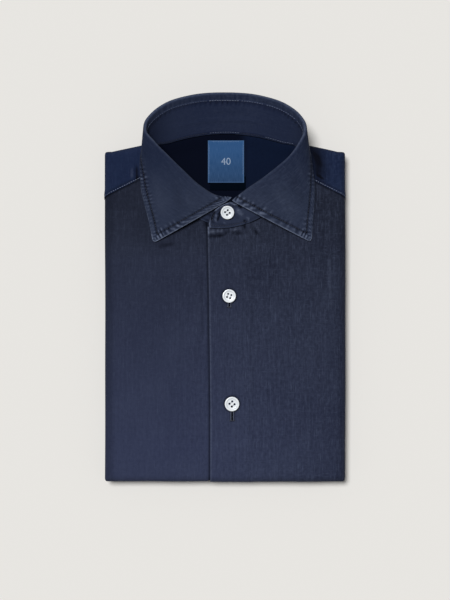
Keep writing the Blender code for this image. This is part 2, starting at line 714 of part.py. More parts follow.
def neck_label(finish, parent):
    """The neck label, laid on the yoke lining and over the tab."""
    edge = lining_edge()

    def place(x, y):
        over_tab = 1.0 - smooth_step((y - LABEL_STEP_Y) / LABEL_STEP_RUN)
        lift = (LABEL_GAP + LABEL_WALL) * (1.0 + over_tab)
        return Vector((x, y, lining_z(x, y, edge) + lift))

    grid = placed_grid(list(np.linspace(*LABEL_X, 4)), list(np.linspace(*LABEL_Y, 11)), place)
    sheet("neck_label", grid, LABEL_WALL, -1.0, finish, parent)


# ---- Buttons ---------------------------------------------------------------------------------
def hole_cutter(name, matrix, hole_turn, cutters):
    """Four pins that cut the thread holes of a button."""
    pins = bmesh.new()
    for i in range(HOLE_COUNT):
        angle = hole_turn + math.tau * i / HOLE_COUNT
        made = bmesh.ops.create_cone(
            pins,
            cap_ends=True,
            segments=HOLE_SIDES,
            radius1=HOLE_RADIUS,
            radius2=HOLE_RADIUS,
            depth=3.0 * BUTTON_HEIGHT,
        )
        across = Vector((math.cos(angle), math.sin(angle), 0.0)) * HOLE_CIRCLE
        bmesh.ops.translate(pins, verts=made["verts"], vec=across)
    mesh = bpy.data.meshes.new(name + "_holes")
    pins.to_mesh(mesh)
    pins.free()
    return cutter_object(name + "_holes", mesh, matrix, cutters)


def button(name, foot, tilt, diameter, hole_turn, finish, parent, cutters):
    """A dished four-hole button, turned from its profile, with the middle of its base at foot."""
    mesh = bpy.data.meshes.new(name)
    outline = bmesh.new()
    corners = [
        outline.verts.new((diameter / 2.0 * out, 0.0, BUTTON_HEIGHT * up))
        for out, up in BUTTON_PROFILE
    ]
    for upper, lower in zip(corners, corners[1:]):
        outline.edges.new((upper, lower))
    outline.to_mesh(mesh)
    outline.free()
    mesh.materials.append(finish)
    piece = bpy.data.objects.new(name, mesh)
    parent.objects.link(piece)
    piece.location = foot
    piece.rotation_euler.x = tilt
    turned = piece.modifiers.new("turned", "SCREW")
    turned.steps = BUTTON_STEPS
    turned.render_steps = BUTTON_STEPS
    turned.use_merge_vertices = True
    turned.merge_threshold = 0.02 * MM
    bpy.context.view_layer.update()
    cut(piece, "holes", hole_cutter(name, piece.matrix_world.copy(), hole_turn, cutters))


def buttons(finish, parent, cutters):
    """Two buttons on the placket, and one on the lapped end of the stand."""
    for name, (x, y, diameter, hole_turn) in FRONT_BUTTONS.items():
        foot = folded_point(x, y, placket_lift(x) + SEAM_GAP)
        button(name, foot, 0.0, diameter, hole_turn, finish, parent, cutters)

    x, y, diameter, hole_turn = COLLAR_BUTTON
    nearest = int(np.argmin(abs(STAND_OVER["foot_x"] - x)))
    low = Vector(points(STAND_OVER, "foot")[nearest])
    high = Vector(points(STAND_OVER, "top")[nearest])
    slope = math.atan2(high.z - low.z, high.y - low.y)
    height = low.z + (y - low.y) * math.tan(slope)
    height += (COLLAR_CLOTH / 2.0 + SEAM_GAP) / math.cos(slope)
    foot = Vector((x, y, height))
    button("collar_button", foot, slope, diameter, hole_turn, finish, parent, cutters)


def build_shirt():
    clear_scene()
    parts = collection("dress_shirt")
    cutters = collection("cutters")
    denim = material("denim", DENIM)
    folded_layers(material("denim_layers", DENIM), parts, cutters)
    fronts(denim, parts)
    yoke(material("denim_yoke", DENIM_YOKE), parts)
    yoke_lining(material("denim_inside", DENIM_INSIDE), parts)
    collar_stand(material("denim_stand", DENIM), parts)
    collar_leaf(material("denim_collar", DENIM), parts)
    neck_tab(material("tab_black", TAB_BLACK), parts)
    neck_label(material("label_blue", LABEL_BLUE), parts)
    buttons(material("pearl", PEARL), parts, cutters)


build_shirt()
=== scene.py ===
# %% [markdown]
# # A folded dress shirt
#
# The shirt lies on its back, buttoned up and folded flat, and we look straight down on it. The
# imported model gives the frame: one solid for each sewn piece. This lesson lays finer cloth over
# every one of them, then adds what a solid can't carry: seams, stitches, puckers, creases,
# buttonholes, the weave and the wear. All sizes are in metres, and MM turns millimetres into them.

import math

import bmesh
import bpy
import numpy as np
from mathutils import Matrix, Vector


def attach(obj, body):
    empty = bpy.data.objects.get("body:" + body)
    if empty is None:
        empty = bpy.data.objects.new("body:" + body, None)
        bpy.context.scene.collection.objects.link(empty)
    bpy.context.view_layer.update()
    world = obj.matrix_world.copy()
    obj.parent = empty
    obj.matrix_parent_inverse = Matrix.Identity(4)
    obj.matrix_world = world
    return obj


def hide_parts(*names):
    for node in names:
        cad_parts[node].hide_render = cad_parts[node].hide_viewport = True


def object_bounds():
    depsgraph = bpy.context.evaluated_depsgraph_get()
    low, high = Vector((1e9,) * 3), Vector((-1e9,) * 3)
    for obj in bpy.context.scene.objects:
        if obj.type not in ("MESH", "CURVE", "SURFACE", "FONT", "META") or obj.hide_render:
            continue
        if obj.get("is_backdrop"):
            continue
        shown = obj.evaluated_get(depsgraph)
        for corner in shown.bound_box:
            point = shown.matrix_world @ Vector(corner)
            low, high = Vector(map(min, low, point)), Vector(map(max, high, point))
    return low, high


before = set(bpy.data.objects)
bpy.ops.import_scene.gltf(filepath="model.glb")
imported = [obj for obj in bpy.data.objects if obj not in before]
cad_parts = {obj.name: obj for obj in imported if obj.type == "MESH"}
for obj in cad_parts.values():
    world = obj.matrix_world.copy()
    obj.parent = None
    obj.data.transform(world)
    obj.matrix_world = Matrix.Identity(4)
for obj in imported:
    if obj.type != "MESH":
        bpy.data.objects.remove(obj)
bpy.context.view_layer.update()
MM = 0.001


def new_object(name, data):
    """An object with its data, linked to the scene."""
    made = bpy.data.objects.new(name, data)
    bpy.context.scene.collection.objects.link(made)
    return made


# %% [markdown]
# ## Camera
#
# The picture is taken from straight above, so the camera hangs over the pack and looks down. A
# long lens from 1.6 m keeps the collar, which stands 50 mm high, from leaning outwards. The lens
# could be found by eye, but it's exact when worked out: one pixel covers 0.958 mm on the top of
# the pack, and the picture is 600 pixels high.

# %% Camera over the pack
CAMERA_HEIGHT = 1600 * MM
CAMERA_Y = -11 * MM
PACK_TOP = 24 * MM
PIXELS_HIGH, PIXEL = 600, 0.958 * MM
PICTURE_LENGTH = PIXELS_HIGH * PIXEL
SENSOR = 36.0

view = bpy.data.cameras.new("camera")
view.sensor_width = SENSOR
view.lens = SENSOR * (CAMERA_HEIGHT - PACK_TOP) / PICTURE_LENGTH
camera = new_object("camera", view)
camera.location = (0, CAMERA_Y, CAMERA_HEIGHT)
bpy.context.scene.camera = camera
print("lens:", round(view.lens, 1), "mm")

# %% [markdown]
# ## Light and floor
#
# The shadow in the picture is short, soft and falls to the lower right, and the paper is equally
# bright in every corner. So the main light comes from far away, high at the upper left, through a
# wide softbox: a sun lamp with a large angle does that. A pale world fills the rest, as white
# studio walls do. The floor is a plain matt plane, far larger than the view.

# %% Studio light and floor
KEY_FROM = (-0.20, 0.24, 1.0)    # towards the light
KEY_STRENGTH, KEY_ANGLE = 2.76, math.radians(20)
WALL_COLOUR, WALL_STRENGTH = (1, 0.99, 0.97, 1), 0.13
FLOOR_SIZE = 40
FLOOR_COLOUR = (0.83, 0.815, 0.785, 1)

lamp = bpy.data.lights.new("key", "SUN")
lamp.energy = KEY_STRENGTH
lamp.angle = KEY_ANGLE
key = new_object("key", lamp)
key.rotation_euler = (-Vector(KEY_FROM)).to_track_quat("-Z", "Y").to_euler()

world = bpy.data.worlds.new("studio")
world.use_nodes = True
walls = world.node_tree.nodes["Background"]
walls.inputs["Color"].default_value = WALL_COLOUR
walls.inputs["Strength"].default_value = WALL_STRENGTH
bpy.context.scene.world = world
bpy.context.scene.view_settings.view_transform = "Standard"

bpy.ops.object.select_all(action="DESELECT")
bpy.ops.mesh.primitive_plane_add(size=FLOOR_SIZE)
floor = bpy.context.object
floor.name = "floor"
paper = bpy.data.materials.new("floor_paper")
paper.use_nodes = True
matt = paper.node_tree.nodes["Principled BSDF"]
matt.inputs["Base Color"].default_value = FLOOR_COLOUR
matt.inputs["Roughness"].default_value = 1.0
matt.inputs["Specular IOR Level"].default_value = 0.0
floor.data.materials.append(paper)
floor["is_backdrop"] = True
print("floor and one soft light")

# %% [markdown]
# ## Small tools
#
# Short tables with named columns hold the sizes of the shirt. `soft_step` is the S-shaped ramp
# that cloth makes when it climbs over an edge, and `near` is a soft bump along a line, for seams
# and worn edges. `smooth_rows` reads a table of a few sections as one smooth curve, so that a
# handful of measured rows can shape hundreds of points.

# %% Tables and curves
FAR = 1.0                        # metres: out of the reach of every seam


def table(columns, *rows):
    """Rows of millimetres, read as one array of metres for each named column."""
    return {name: np.array([row[i] for row in rows]) * MM for i, name in enumerate(columns)}


def points(rows, name):
    """The points that a table holds as columns name_x, name_y and name_z."""
    return np.column_stack([rows[name + "_x"], rows[name + "_y"], rows[name + "_z"]])


def soft_step(value):
    t = np.clip(value, 0.0, 1.0)
    return t * t * (3.0 - 2.0 * t)


def near(away, width):
    """1 on a line, and less and less beside it."""
    return np.exp(-((away / width) ** 2))


def unit(vectors):
    return vectors / np.maximum(np.linalg.norm(vectors, axis=-1, keepdims=True), 1e-12)


def running_length(line):
    """How far along a line of points each point is."""
    return np.concatenate(([0.0], np.cumsum(np.linalg.norm(np.diff(line, axis=0), axis=1))))


def smooth_rows(knots, rows, stations):
    """A cubic through every row of a table, read at each station along the knots."""
    slopes = np.gradient(rows, knots, axis=0)
    index = np.clip(np.searchsorted(knots, stations, side="right") - 1, 0, len(knots) - 2)
    step = (knots[index + 1] - knots[index])[:, None]
    s = (stations - knots[index])[:, None] / step
    leave, arrive = slopes[index] * step, slopes[index + 1] * step
    return (
        (2 * s**3 - 3 * s**2 + 1) * rows[index]
        + (s**3 - 2 * s**2 + s) * leave
        + (-2 * s**3 + 3 * s**2) * rows[index + 1]
        + (s**3 - s**2) * arrive
    )


def every(start, end, step):
    """Evenly spaced values from start to end, about step apart."""
    return np.linspace(start, end, max(2, round(abs(end - start) / step) + 1))


def joined(*runs):
    """Runs of values put end to end, with what two neighbours share kept once."""
    return np.concatenate([runs[0]] + [run[1:] for run in runs[1:]])


print("a ramp:", [round(float(soft_step(t)), 2) for t in (0, 0.25, 0.5, 1)])

# %% [markdown]
# ## The cloth's colour
#
# Chambray is a plain weave of indigo warp and paler weft. Its yarns are uneven: thick places,
# called slubs, show as faint streaks, and washing leaves it a little mottled. Where an edge is
# worn, the white core of the yarn comes through. Every cloth piece gets a UV map in real metres
# that follows its grain, so the same weave has the same size everywhere. It could be a picture,
# but nodes stay sharp at any zoom. The worn places come from an attribute that each piece carries
# on its points, and it holds painted light too: crests of creases and puckers paled by wear and
# painted highlight, their hollows painted dark as shade, and painted shadows beside seams, folds
# and buttons. Painted shade darkens the body across the shirt and close under the collar, and a
# few deep corners are painted dark as shade.


# %% Node helper
def shader_tree(name, roughness):
    """A new material with its node tree and its Principled shader."""
    made = bpy.data.materials.new(name)
    made.use_nodes = True
    shader = made.node_tree.nodes["Principled BSDF"]
    shader.inputs["Roughness"].default_value = roughness
    return made, made.node_tree, shader


def add(tree, kind, *inputs, **settings):
    """A node with its settings, whose inputs are numbers or other nodes' outputs, in order."""
    node = tree.nodes.new("ShaderNode" + kind)
    for name, value in settings.items():
        setattr(node, name, value)
    for socket, value in zip(node.inputs, inputs):
        if isinstance(value, bpy.types.NodeSocket):
            tree.links.new(value, socket)
        elif value is not None:
            socket.default_value = value
    return node.outputs[0]


def sums(tree, operation, a, b=0.0, c=0.0):
    return add(tree, "Math", a, b, c, operation=operation)


def scaled(tree, place, scale):
    """Coordinates multiplied by three numbers."""
    return add(tree, "VectorMath", place, scale, operation="MULTIPLY")


def noise(tree, place, scale=1.0, detail=2.0, rough=0.5):
    return add(tree, "TexNoise", place, None, scale, detail, rough)


def ramp(tree, value, low, high, to_low=0.0, to_high=1.0):
    return add(tree, "MapRange", value, low, high, to_low, to_high)


def mixed(tree, factor, a, b):
    """A colour between a and b."""
    node = tree.nodes.new("ShaderNodeMix")
    node.data_type = "RGBA"
    for socket, value in zip((node.inputs[0], node.inputs[6], node.inputs[7]), (factor, a, b)):
        if isinstance(value, bpy.types.NodeSocket):
            tree.links.new(value, socket)
        else:
            socket.default_value = value
    return node.outputs[2]


def set_inputs(shader, values):
    for socket, value in values.items():
        shader.inputs[socket].default_value = value


def raise_by(tree, shader, height, strength, distance):
    """Bumps the surface by a node's output."""
    bump = tree.nodes.new("ShaderNodeBump")
    set_inputs(bump, {"Strength": strength, "Distance": distance})
    tree.links.new(height, bump.inputs["Height"])
    tree.links.new(bump.outputs["Normal"], shader.inputs["Normal"])


print("node helpers ready")

# %% Chambray
YARN = 0.42 * MM                 # from one yarn to the next
SLUB_WIDE, SLUB_LONG = 1.0 * MM, 11 * MM
STREAK_WIDE, STREAK_LONG = 2.2 * MM, 40 * MM
MOTTLE = 2.8 * MM                # size of the uneven patches that washing leaves
WORN_AND_HIGHLIGHT = (0.170, 0.205, 0.300, 1)  # the yarn's pale core at a rubbed edge, and the colour of painted highlights
DYE_AND_SHADE = (0.0022, 0.003, 0.008, 1)  # unwashed indigo, deep in a seam, and the colour of painted shade
ACROSS, ACROSS_SHADE = (-0.01, 0.115), 0.50       # painted shade, from one x to the other
UNDER_COLLAR, COLLAR_SHADE = (0.028, 0.050), 0.44 # and from one y to the other
STREAKY = (-0.06, 0.03)          # left of this the cloth is plainer, right of it more streaky


def chambray(
    name, upper, lower, pale, span=(0.08, -0.15), streaks=1.0, sheen=0.03, shaded=0.0, gloss=0.08
):
    """Indigo cloth, in one colour above span's first height and another below its second.

    pale is the yarn that shows in slubs and streaks. shaded is how much of the painted shade the
    piece takes.
    """
    made, tree, shader = shader_tree(name, 0.9)
    grain = add(tree, "UVMap", uv_map="grain")
    place = tree.nodes.new("ShaderNodeTexCoord").outputs["Object"]

    parts = add(tree, "SeparateXYZ", place).node
    colour = mixed(tree, ramp(tree, parts.outputs["Y"], *span), upper, lower)
    aside = ramp(tree, parts.outputs["X"], *ACROSS, 0.0, ACROSS_SHADE * shaded)
    above = ramp(tree, parts.outputs["Y"], *UNDER_COLLAR, 0.0, COLLAR_SHADE * shaded)
    colour = mixed(tree, sums(tree, "MAXIMUM", aside, above), colour, DYE_AND_SHADE)
    streaky = ramp(tree, parts.outputs["X"], *STREAKY, 0.6 * streaks, 1.3 * streaks)
    cloud = noise(tree, place, 16.0, 3.0)
    colour = mixed(tree, ramp(tree, cloud, 0.35, 0.7, 0.0, 0.10), colour, pale)
    streak = noise(tree, scaled(tree, grain, (1 / STREAK_WIDE, 1 / STREAK_LONG, 1)), 1.0, 4.0, 0.65)
    patch = noise(tree, scaled(tree, grain, (1 / MOTTLE, 0.7 / MOTTLE, 1)), 1.0, 4.0, 0.7)
    for uneven_tone, light, dark in ((streak, 0.09, 0.16), (patch, 0.13, 0.24)):
        lighter = sums(tree, "MULTIPLY", ramp(tree, uneven_tone, 0.50, 0.72, 0.0, light), streaky)
        darker = sums(tree, "MULTIPLY", ramp(tree, uneven_tone, 0.50, 0.30, 0.0, dark), streaky)
        colour = mixed(tree, lighter, colour, pale)
        colour = mixed(tree, darker, colour, DYE_AND_SHADE)

    warp_slub = noise(tree, scaled(tree, grain, (1 / SLUB_WIDE, 1 / SLUB_LONG, 1)))
    weft_slub = noise(tree, scaled(tree, grain, (1.3 / SLUB_LONG, 1 / SLUB_WIDE, 1)))
    warp_slub = ramp(tree, warp_slub, 0.56, 0.80)
    weft_slub = ramp(tree, weft_slub, 0.58, 0.82, 0.0, 0.8)
    slub = sums(tree, "MAXIMUM", warp_slub, weft_slub)

    yarns = add(tree, "SeparateXYZ", scaled(tree, grain, (math.pi / YARN, math.pi / YARN, 1))).node
    warp, weft = (sums(tree, "SINE", yarns.outputs[axis]) for axis in "XY")
    over = sums(tree, "MULTIPLY", warp, weft)
    fuzz = noise(tree, place, 1500.0)

    colour = mixed(tree, sums(tree, "MULTIPLY", ramp(tree, over, -0.4, 0.4), 0.10), colour, pale)
    slubs = sums(tree, "MULTIPLY", sums(tree, "MULTIPLY", slub, streaky), 0.32)
    colour = mixed(tree, slubs, colour, pale)
    # wear and painted light: above 0 pale worn core and painted highlight, below 0 dye and painted
    # shade
    wear_and_shading = add(tree, "Attribute", attribute_name="wear_and_shading").node.outputs["Fac"]
    rubbed_light_and_shade = ramp(tree, noise(tree, place, 420.0, 3.0), 0.30, 0.66, 0.35, 1.0)
    worn_and_highlit = sums(tree, "MULTIPLY", ramp(tree, wear_and_shading, 0.0, 1.0), rubbed_light_and_shade)
    colour = mixed(tree, worn_and_highlit, colour, WORN_AND_HIGHLIGHT)
    colour = mixed(tree, ramp(tree, wear_and_shading, 0.0, -1.0), colour, DYE_AND_SHADE)
    tree.links.new(colour, shader.inputs["Base Color"])

    relief = sums(tree, "ADD", sums(tree, "ABSOLUTE", over), sums(tree, "MULTIPLY", slub, 1.2))
    relief = sums(tree, "ADD", relief, sums(tree, "MULTIPLY", fuzz, 0.8))
    raise_by(tree, shader, relief, 0.55, 0.07 * MM)
    set_inputs(shader, {
        "Specular IOR Level": gloss, "Sheen Weight": sheen,
        "Sheen Roughness": 0.45, "Sheen Tint": (0.62, 0.70, 0.95, 1),
    })
    return made


PALE = (0.080, 0.100, 0.165, 1)
BLUE = (0.050, 0.074, 0.145, 1)  # the pale yarn of the yoke, which kept more of its dye
DIM = (0.006, 0.012, 0.032, 1)   # and of its lining, darkened as painted shade
COLLAR_SPAN = (0.125, 0.085)
BODY_CLOTH = chambray(
    "chambray_body", (0.012, 0.015, 0.029, 1), (0.028, 0.035, 0.076, 1), PALE, shaded=1.0
)
LAYER_CLOTH = chambray("chambray_layers", (0.013, 0.018, 0.038, 1), (0.016, 0.022, 0.046, 1), PALE)
YOKE_CLOTH = chambray(
    "chambray_yoke", (0.0080, 0.0160, 0.052, 1), (0.0095, 0.0165, 0.050, 1), BLUE,
    streaks=0.90, shaded=0.5,
)
# darker than the yoke's own cloth: painted shade inside the neck
LINING_CLOTH = chambray(
    "chambray_lining", (0.0048, 0.0092, 0.0265, 1), (0.0048, 0.0088, 0.025, 1), DIM,
    span=(0.135, 0.11), streaks=0.5, sheen=0.0, gloss=0.02,
)
STAND_CLOTH = chambray(
    "chambray_stand", (0.010, 0.017, 0.049, 1), (0.014, 0.020, 0.044, 1), PALE, COLLAR_SPAN, 0.35
)
LEAF_CLOTH = chambray(
    "chambray_collar", (0.007, 0.013, 0.038, 1), (0.0172, 0.0246, 0.051, 1), PALE, COLLAR_SPAN, 0.70
)
print("chambray with a yarn every", YARN / MM, "mm")

# %% [markdown]
# ## How a cloth piece is laid
#
# A real piece is cut flat and then folded. Ours starts the same way: a flat grid, one vertex for
# each pair of lines across and along the cut. Each vertex then moves to where that bit of cloth
# ends up. Solidify gives the wall, and a small bevel rounds its cut or folded edge. A cloth
# simulation could fold it as well, but a pressed shirt has crisp, known folds, so placing them
# is surer and repeats exactly.


# %% Lay a grid of cloth
def deselect():
    bpy.ops.object.select_all(action="DESELECT")


def make_active(piece):
    deselect()
    piece.select_set(True)
    bpy.context.view_layer.objects.active = piece


def apply_modifier(piece, kind, **settings):
    """Gives the piece a modifier with these settings, and applies it."""
    make_active(piece)
    modifier = piece.modifiers.new(kind.lower(), kind)
    for name, value in settings.items():
        setattr(modifier, name, value)
    bpy.ops.object.modifier_apply(modifier=modifier.name)


def lay_cloth(name, places, grain, wear_and_shading, wall, side, finish, rim=0.0):
    """A cloth piece through a grid of places. grain is each point's place in the flat cut.

    side is -1 where the grid is the outer face and 0 where it's the middle of the wall. rim is
    how far the edge is rounded.
    """
    across, along = places.shape[:2]
    deselect()
    bpy.ops.mesh.primitive_grid_add(x_subdivisions=across - 1, y_subdivisions=along - 1, size=1)
    piece = bpy.context.object
    piece.name = name
    mesh = piece.data
    mesh.name = name
    flat = np.empty(len(mesh.vertices) * 3)
    mesh.vertices.foreach_get("co", flat)
    flat = flat.reshape(-1, 3)
    i = np.rint((flat[:, 0] + 0.5) * (across - 1)).astype(int)
    j = np.rint((flat[:, 1] + 0.5) * (along - 1)).astype(int)
    mesh.vertices.foreach_set("co", places[i, j].ravel())

    mesh.uv_layers[0].name = "grain"
    corners = np.empty(len(mesh.loops), int)
    mesh.loops.foreach_get("vertex_index", corners)
    mesh.uv_layers[0].data.foreach_set("uv", grain[i, j][corners].ravel())
    mesh.attributes.new("wear_and_shading", "FLOAT", "POINT").data.foreach_set("value", wear_and_shading[i, j].ravel())

    apply_modifier(piece, "SOLIDIFY", thickness=wall, offset=side)
    if rim:
        apply_modifier(
            piece, "BEVEL", width=rim, segments=2, limit_method="ANGLE", angle_limit=math.radians(55)
        )
    bpy.ops.object.shade_smooth_by_angle(angle=math.radians(60))
    mesh.materials.append(finish)
    print(name, len(mesh.polygons), "faces")
    return piece


def stands_for(piece, node):
    """The piece rides with the shirt and hides its solid."""
    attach(piece, "root")
    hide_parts(node)


def surface_area(places):
    """Area of a grid of places."""
    one = np.cross(places[1:, :-1] - places[:-1, :-1], places[:-1, 1:] - places[:-1, :-1])
    two = np.cross(places[1:, :-1] - places[1:, 1:], places[:-1, 1:] - places[1:, 1:])
    return float((np.linalg.norm(one, axis=-1) + np.linalg.norm(two, axis=-1)).sum() / 2)


print("ready to lay cloth")

# %% [markdown]
# ## The form of the pack
#
# The pack is 231 mm wide and 24 mm thick, with every outer fold rounded at 7 mm. `folded` takes
# a point of flat cloth and says where it ends up: flat on top, then round the fold and under.
# Lift moves it off the face, along the way that the cloth faces there. These numbers are the
# solids' own, so the cloth lies exactly on them.

# %% Sizes of the pack
HALF_WIDTH, LOWER_FOLD_Y, TOP_Z = 115.5 * MM, -185.5 * MM, 24.0 * MM
FOLD_RADIUS, FOLD_TURN = 7.0 * MM, math.radians(135)
SIDE_X, LOWER_Y = HALF_WIDTH - FOLD_RADIUS, LOWER_FOLD_Y + FOLD_RADIUS
FOLD_RUN = FOLD_RADIUS * FOLD_TURN
CORNER_POWER = 6                 # 2 would make the pack's corners round, and a higher one squarer

SHOULDER = table(
    ("x", "y"),
    (0.0, 149.8), (16.0, 148.9), (32.0, 146.3), (56.0, 140.8),
    (67.0, 138.8), (79.0, 137.9), (113.3, 130.2), (115.5, 129.7),
)
SWELLS = table(
    ("x", "y", "reach_x", "reach_y", "height"),
    (-66.0, -48.0, 40.0, 70.0, 0.7),
    (-30.0, 8.0, 24.0, 60.0, -0.6),
    (66.0, -92.0, 44.0, 62.0, 0.6),
    (52.0, -8.0, 30.0, 44.0, -0.5),
    (-52.0, -142.0, 44.0, 34.0, -0.5),
)
PLACKET_LIFT, FRONT_LIFT = 1.8 * MM, 0.2 * MM
PLACKET_INNER_X, PLACKET_STEP, PLACKET_TUCK = 22.0 * MM, 8.0 * MM, 1.2 * MM
TUCK_START_X, TUCK_RAMP, TUCK_RUN = -18.0 * MM, 6.0 * MM, 30.0 * MM


def shoulder_line(x):
    """Height up the pack where the shoulder fold starts to turn."""
    return np.interp(np.minimum(abs(x), SIDE_X), SHOULDER["x"], SHOULDER["y"]) - FOLD_RADIUS


def tuck(x, y):
    """The lower fold is pressed in a little where the placket makes it thicker."""
    across = soft_step((x - TUCK_START_X) / TUCK_RAMP)
    across = across * (1 - soft_step((x - PLACKET_INNER_X) / PLACKET_STEP))
    return PLACKET_TUCK * across * (1 - soft_step((y - LOWER_Y) / TUCK_RUN))


def corner_length(x, y):
    """Length of a flat arrow, measured so that arrows of one length end on a rounded square."""
    long, short = np.maximum(abs(x), abs(y)), np.minimum(abs(x), abs(y))
    share = short / np.maximum(long, 1e-12)
    return long * (1 + share**CORNER_POWER) ** (1 / CORNER_POWER)


def folded(x, y, lift=0.0):
    """Where flat cloth at (x, y) lies on the pack. All three may be arrays."""
    base_x, base_y = np.clip(x, -SIDE_X, SIDE_X), np.clip(y, LOWER_Y, shoulder_line(x))
    over_x, over_y = x - base_x, y - base_y
    length = np.maximum(corner_length(over_x, over_y), 1e-9)
    turn = np.maximum(abs(over_x), abs(over_y)) / FOLD_RADIUS
    radius = FOLD_RADIUS + lift - tuck(x, y)
    out_x = base_x + over_x / length * radius * np.sin(turn)
    out_y = base_y + over_y / length * radius * np.sin(turn)
    swell = sum(
        height * near(out_x - mx, rx) * near(out_y - my, ry)
        for mx, my, rx, ry, height in zip(*SWELLS.values())
    )
    out_z = (TOP_Z - FOLD_RADIUS + radius * np.cos(turn)) * (1 + swell / TOP_Z)
    return np.stack([out_x, out_y, out_z], axis=-1)


print("top of the pack at", np.round(folded(0.05, 0.0) / MM, 1), "mm")

# %% [markdown]
# ## Creases
#
# Pressed cloth isn't flat: it keeps long soft ridges where it was folded before, and puckers
# where a seam is tight. Each row of a table is one crease: where it starts and ends, how wide and
# high it is, and how much it bows. A trough beside each ridge makes it look pushed up rather
# than glued on. Their lengths, depths and spacing are all different, as on the real shirt.


# %% Crease maker
def creases(*rows):
    return table(("x0", "y0", "x1", "y1", "width", "height", "bow"), *rows)


def crease_relief(rows, x, y):
    """How far the creases lift the cloth at (x, y)."""
    relief = np.zeros_like(x)
    for x0, y0, x1, y1, width, height, bow in zip(*rows.values()):
        span = math.hypot(x1 - x0, y1 - y0)
        along = ((x - x0) * (x1 - x0) + (y - y0) * (y1 - y0)) / span**2
        aside = ((x - x0) * (y1 - y0) - (y - y0) * (x1 - x0)) / span
        aside = aside - 4 * bow * along * (1 - along)
        fade = soft_step(along / 0.35) * soft_step((1 - along) / 0.35)
        relief += height * fade * (near(aside, width) - 0.4 * near(aside - 1.9 * width, 1.5 * width))
    return relief


def rubbed_light_and_shade(relief):
    """Washing pales what stands well up, and that paleness doubles as a painted highlight. What lies
    deep is painted dark: dye left there, and painted shade.

    Wear runs from -1, all dye and painted shade, to 1, all pale core and painted highlight. Relief
    under a quarter of a millimetre is neither paled nor darkened.
    """
    beyond = np.clip(abs(relief) / MM - 0.25, 0.0, 0.8)
    return np.where(relief > 0, 0.6 * beyond, -1.6 * beyond)


def uneven(along, seed):
    """A size from -1 to 1 that wanders along a seam and never quite repeats."""
    pitches = ((9.1, 0.45), (5.3, 0.30), (23.0, 0.35), (3.1, 0.15))
    return sum(
        share * np.sin(math.tau * along / (pitch * MM) + seed * (k + 1.7))
        for k, (pitch, share) in enumerate(pitches)
    )


# turns per metre across and up, where each wave starts, and its height in mm
RIPPLES = ((61, 13, 0.3, 0.10), (94, -22, 1.9, 0.07), (150, 9, 4.1, 0.045), (31, 47, 2.6, 0.09))


def ripple(x, y):
    """The slight unevenness of all cloth: a few long waves, mostly running up the shirt."""
    return sum(h * MM * np.sin(a * x + b * y + c) for a, b, c, h in RIPPLES)


print("ripples of up to", sum(row[3] for row in RIPPLES), "mm")

# %% [markdown]
# ## Collar sections
#
# The collar is one band that stands round the neck and rolls over. Its table gives, for some
# twenty places from one front end round the back to the other, the top of the roll, the foot of
# the stand and the free edge of the leaf. From these come the roll's axis and radius. The body
# needs the neck seam too, so the sections are worked out first.

# %% Collar table
COLLAR = table(
    ("fold_x", "fold_y", "fold_z", "seam_x", "seam_y", "seam_z", "edge_x", "edge_y", "edge_z"),
    (6.1, 87.4, 30.4, 5.7, 60.8, 25.2, -68.9, 43.3, 25.5),
    (-7.6, 89.0, 33.2, -13.4, 62.6, 25.2, -70.0, 50.5, 25.6),
    (-23.8, 98.3, 37.2, -33.5, 71.8, 25.2, -73.1, 65.8, 25.7),
    (-39.8, 112.6, 42.0, -50.7, 84.9, 25.2, -77.3, 82.5, 25.8),
    (-54.8, 126.9, 46.2, -64.1, 97.2, 25.2, -80.2, 97.0, 25.9),
    (-67.2, 139.4, 48.8, -73.4, 109.2, 25.2, -80.8, 107.8, 25.9),
    (-75.2, 149.9, 49.2, -75.8, 120.3, 25.2, -80.8, 119.0, 25.8),
    (-74.6, 158.3, 48.2, -73.6, 129.8, 25.0, -79.2, 131.0, 25.9),
    (-69.2, 165.7, 46.6, -67.4, 136.6, 23.0, -77.2, 141.0, 21.5),
    (-57.6, 174.7, 44.0, -56.0, 139.7, 18.3, -70.0, 158.0, 5.0),
    (-33.1, 182.9, 42.2, -31.7, 145.9, 17.7, -40.5, 174.5, 2.2),
    (0.0, 185.7, 41.6, 0.0, 149.3, 17.6, 0.0, 181.0, 2.0),
    (34.0, 182.7, 42.2, 32.7, 145.9, 17.7, 41.4, 174.5, 2.2),
    (59.2, 173.5, 44.0, 56.8, 139.7, 18.3, 71.0, 158.0, 5.0),
    (70.5, 164.0, 46.6, 68.2, 136.6, 23.0, 78.0, 141.0, 21.5),
    (74.9, 156.6, 48.2, 74.2, 129.8, 25.0, 80.2, 131.6, 26.0),
    (75.2, 149.0, 49.2, 76.4, 120.3, 25.2, 82.4, 119.0, 26.0),
    (70.2, 138.2, 48.8, 74.4, 109.2, 25.3, 84.6, 107.5, 26.1),
    (61.4, 126.0, 46.2, 67.4, 97.2, 25.5, 85.8, 96.0, 26.1),
    (49.2, 115.4, 42.8, 55.0, 84.7, 26.0, 85.4, 81.7, 26.0),
    (35.1, 104.8, 38.9, 39.2, 71.6, 26.5, 84.0, 65.5, 25.9),
    (21.9, 96.1, 35.2, 23.9, 63.4, 27.0, 83.2, 51.6, 25.8),
    (6.7, 84.5, 32.2, 7.6, 58.8, 27.2, 83.1, 43.9, 25.7),
)
STAND_UNDER = table(
    ("top_x", "top_y", "top_z", "foot_x", "foot_y", "foot_z"),
    (21.0, 83.5, 26.8, 22.0, 65.4, 24.9),
    (13.0, 82.6, 26.6, 14.0, 62.0, 25.2),
)
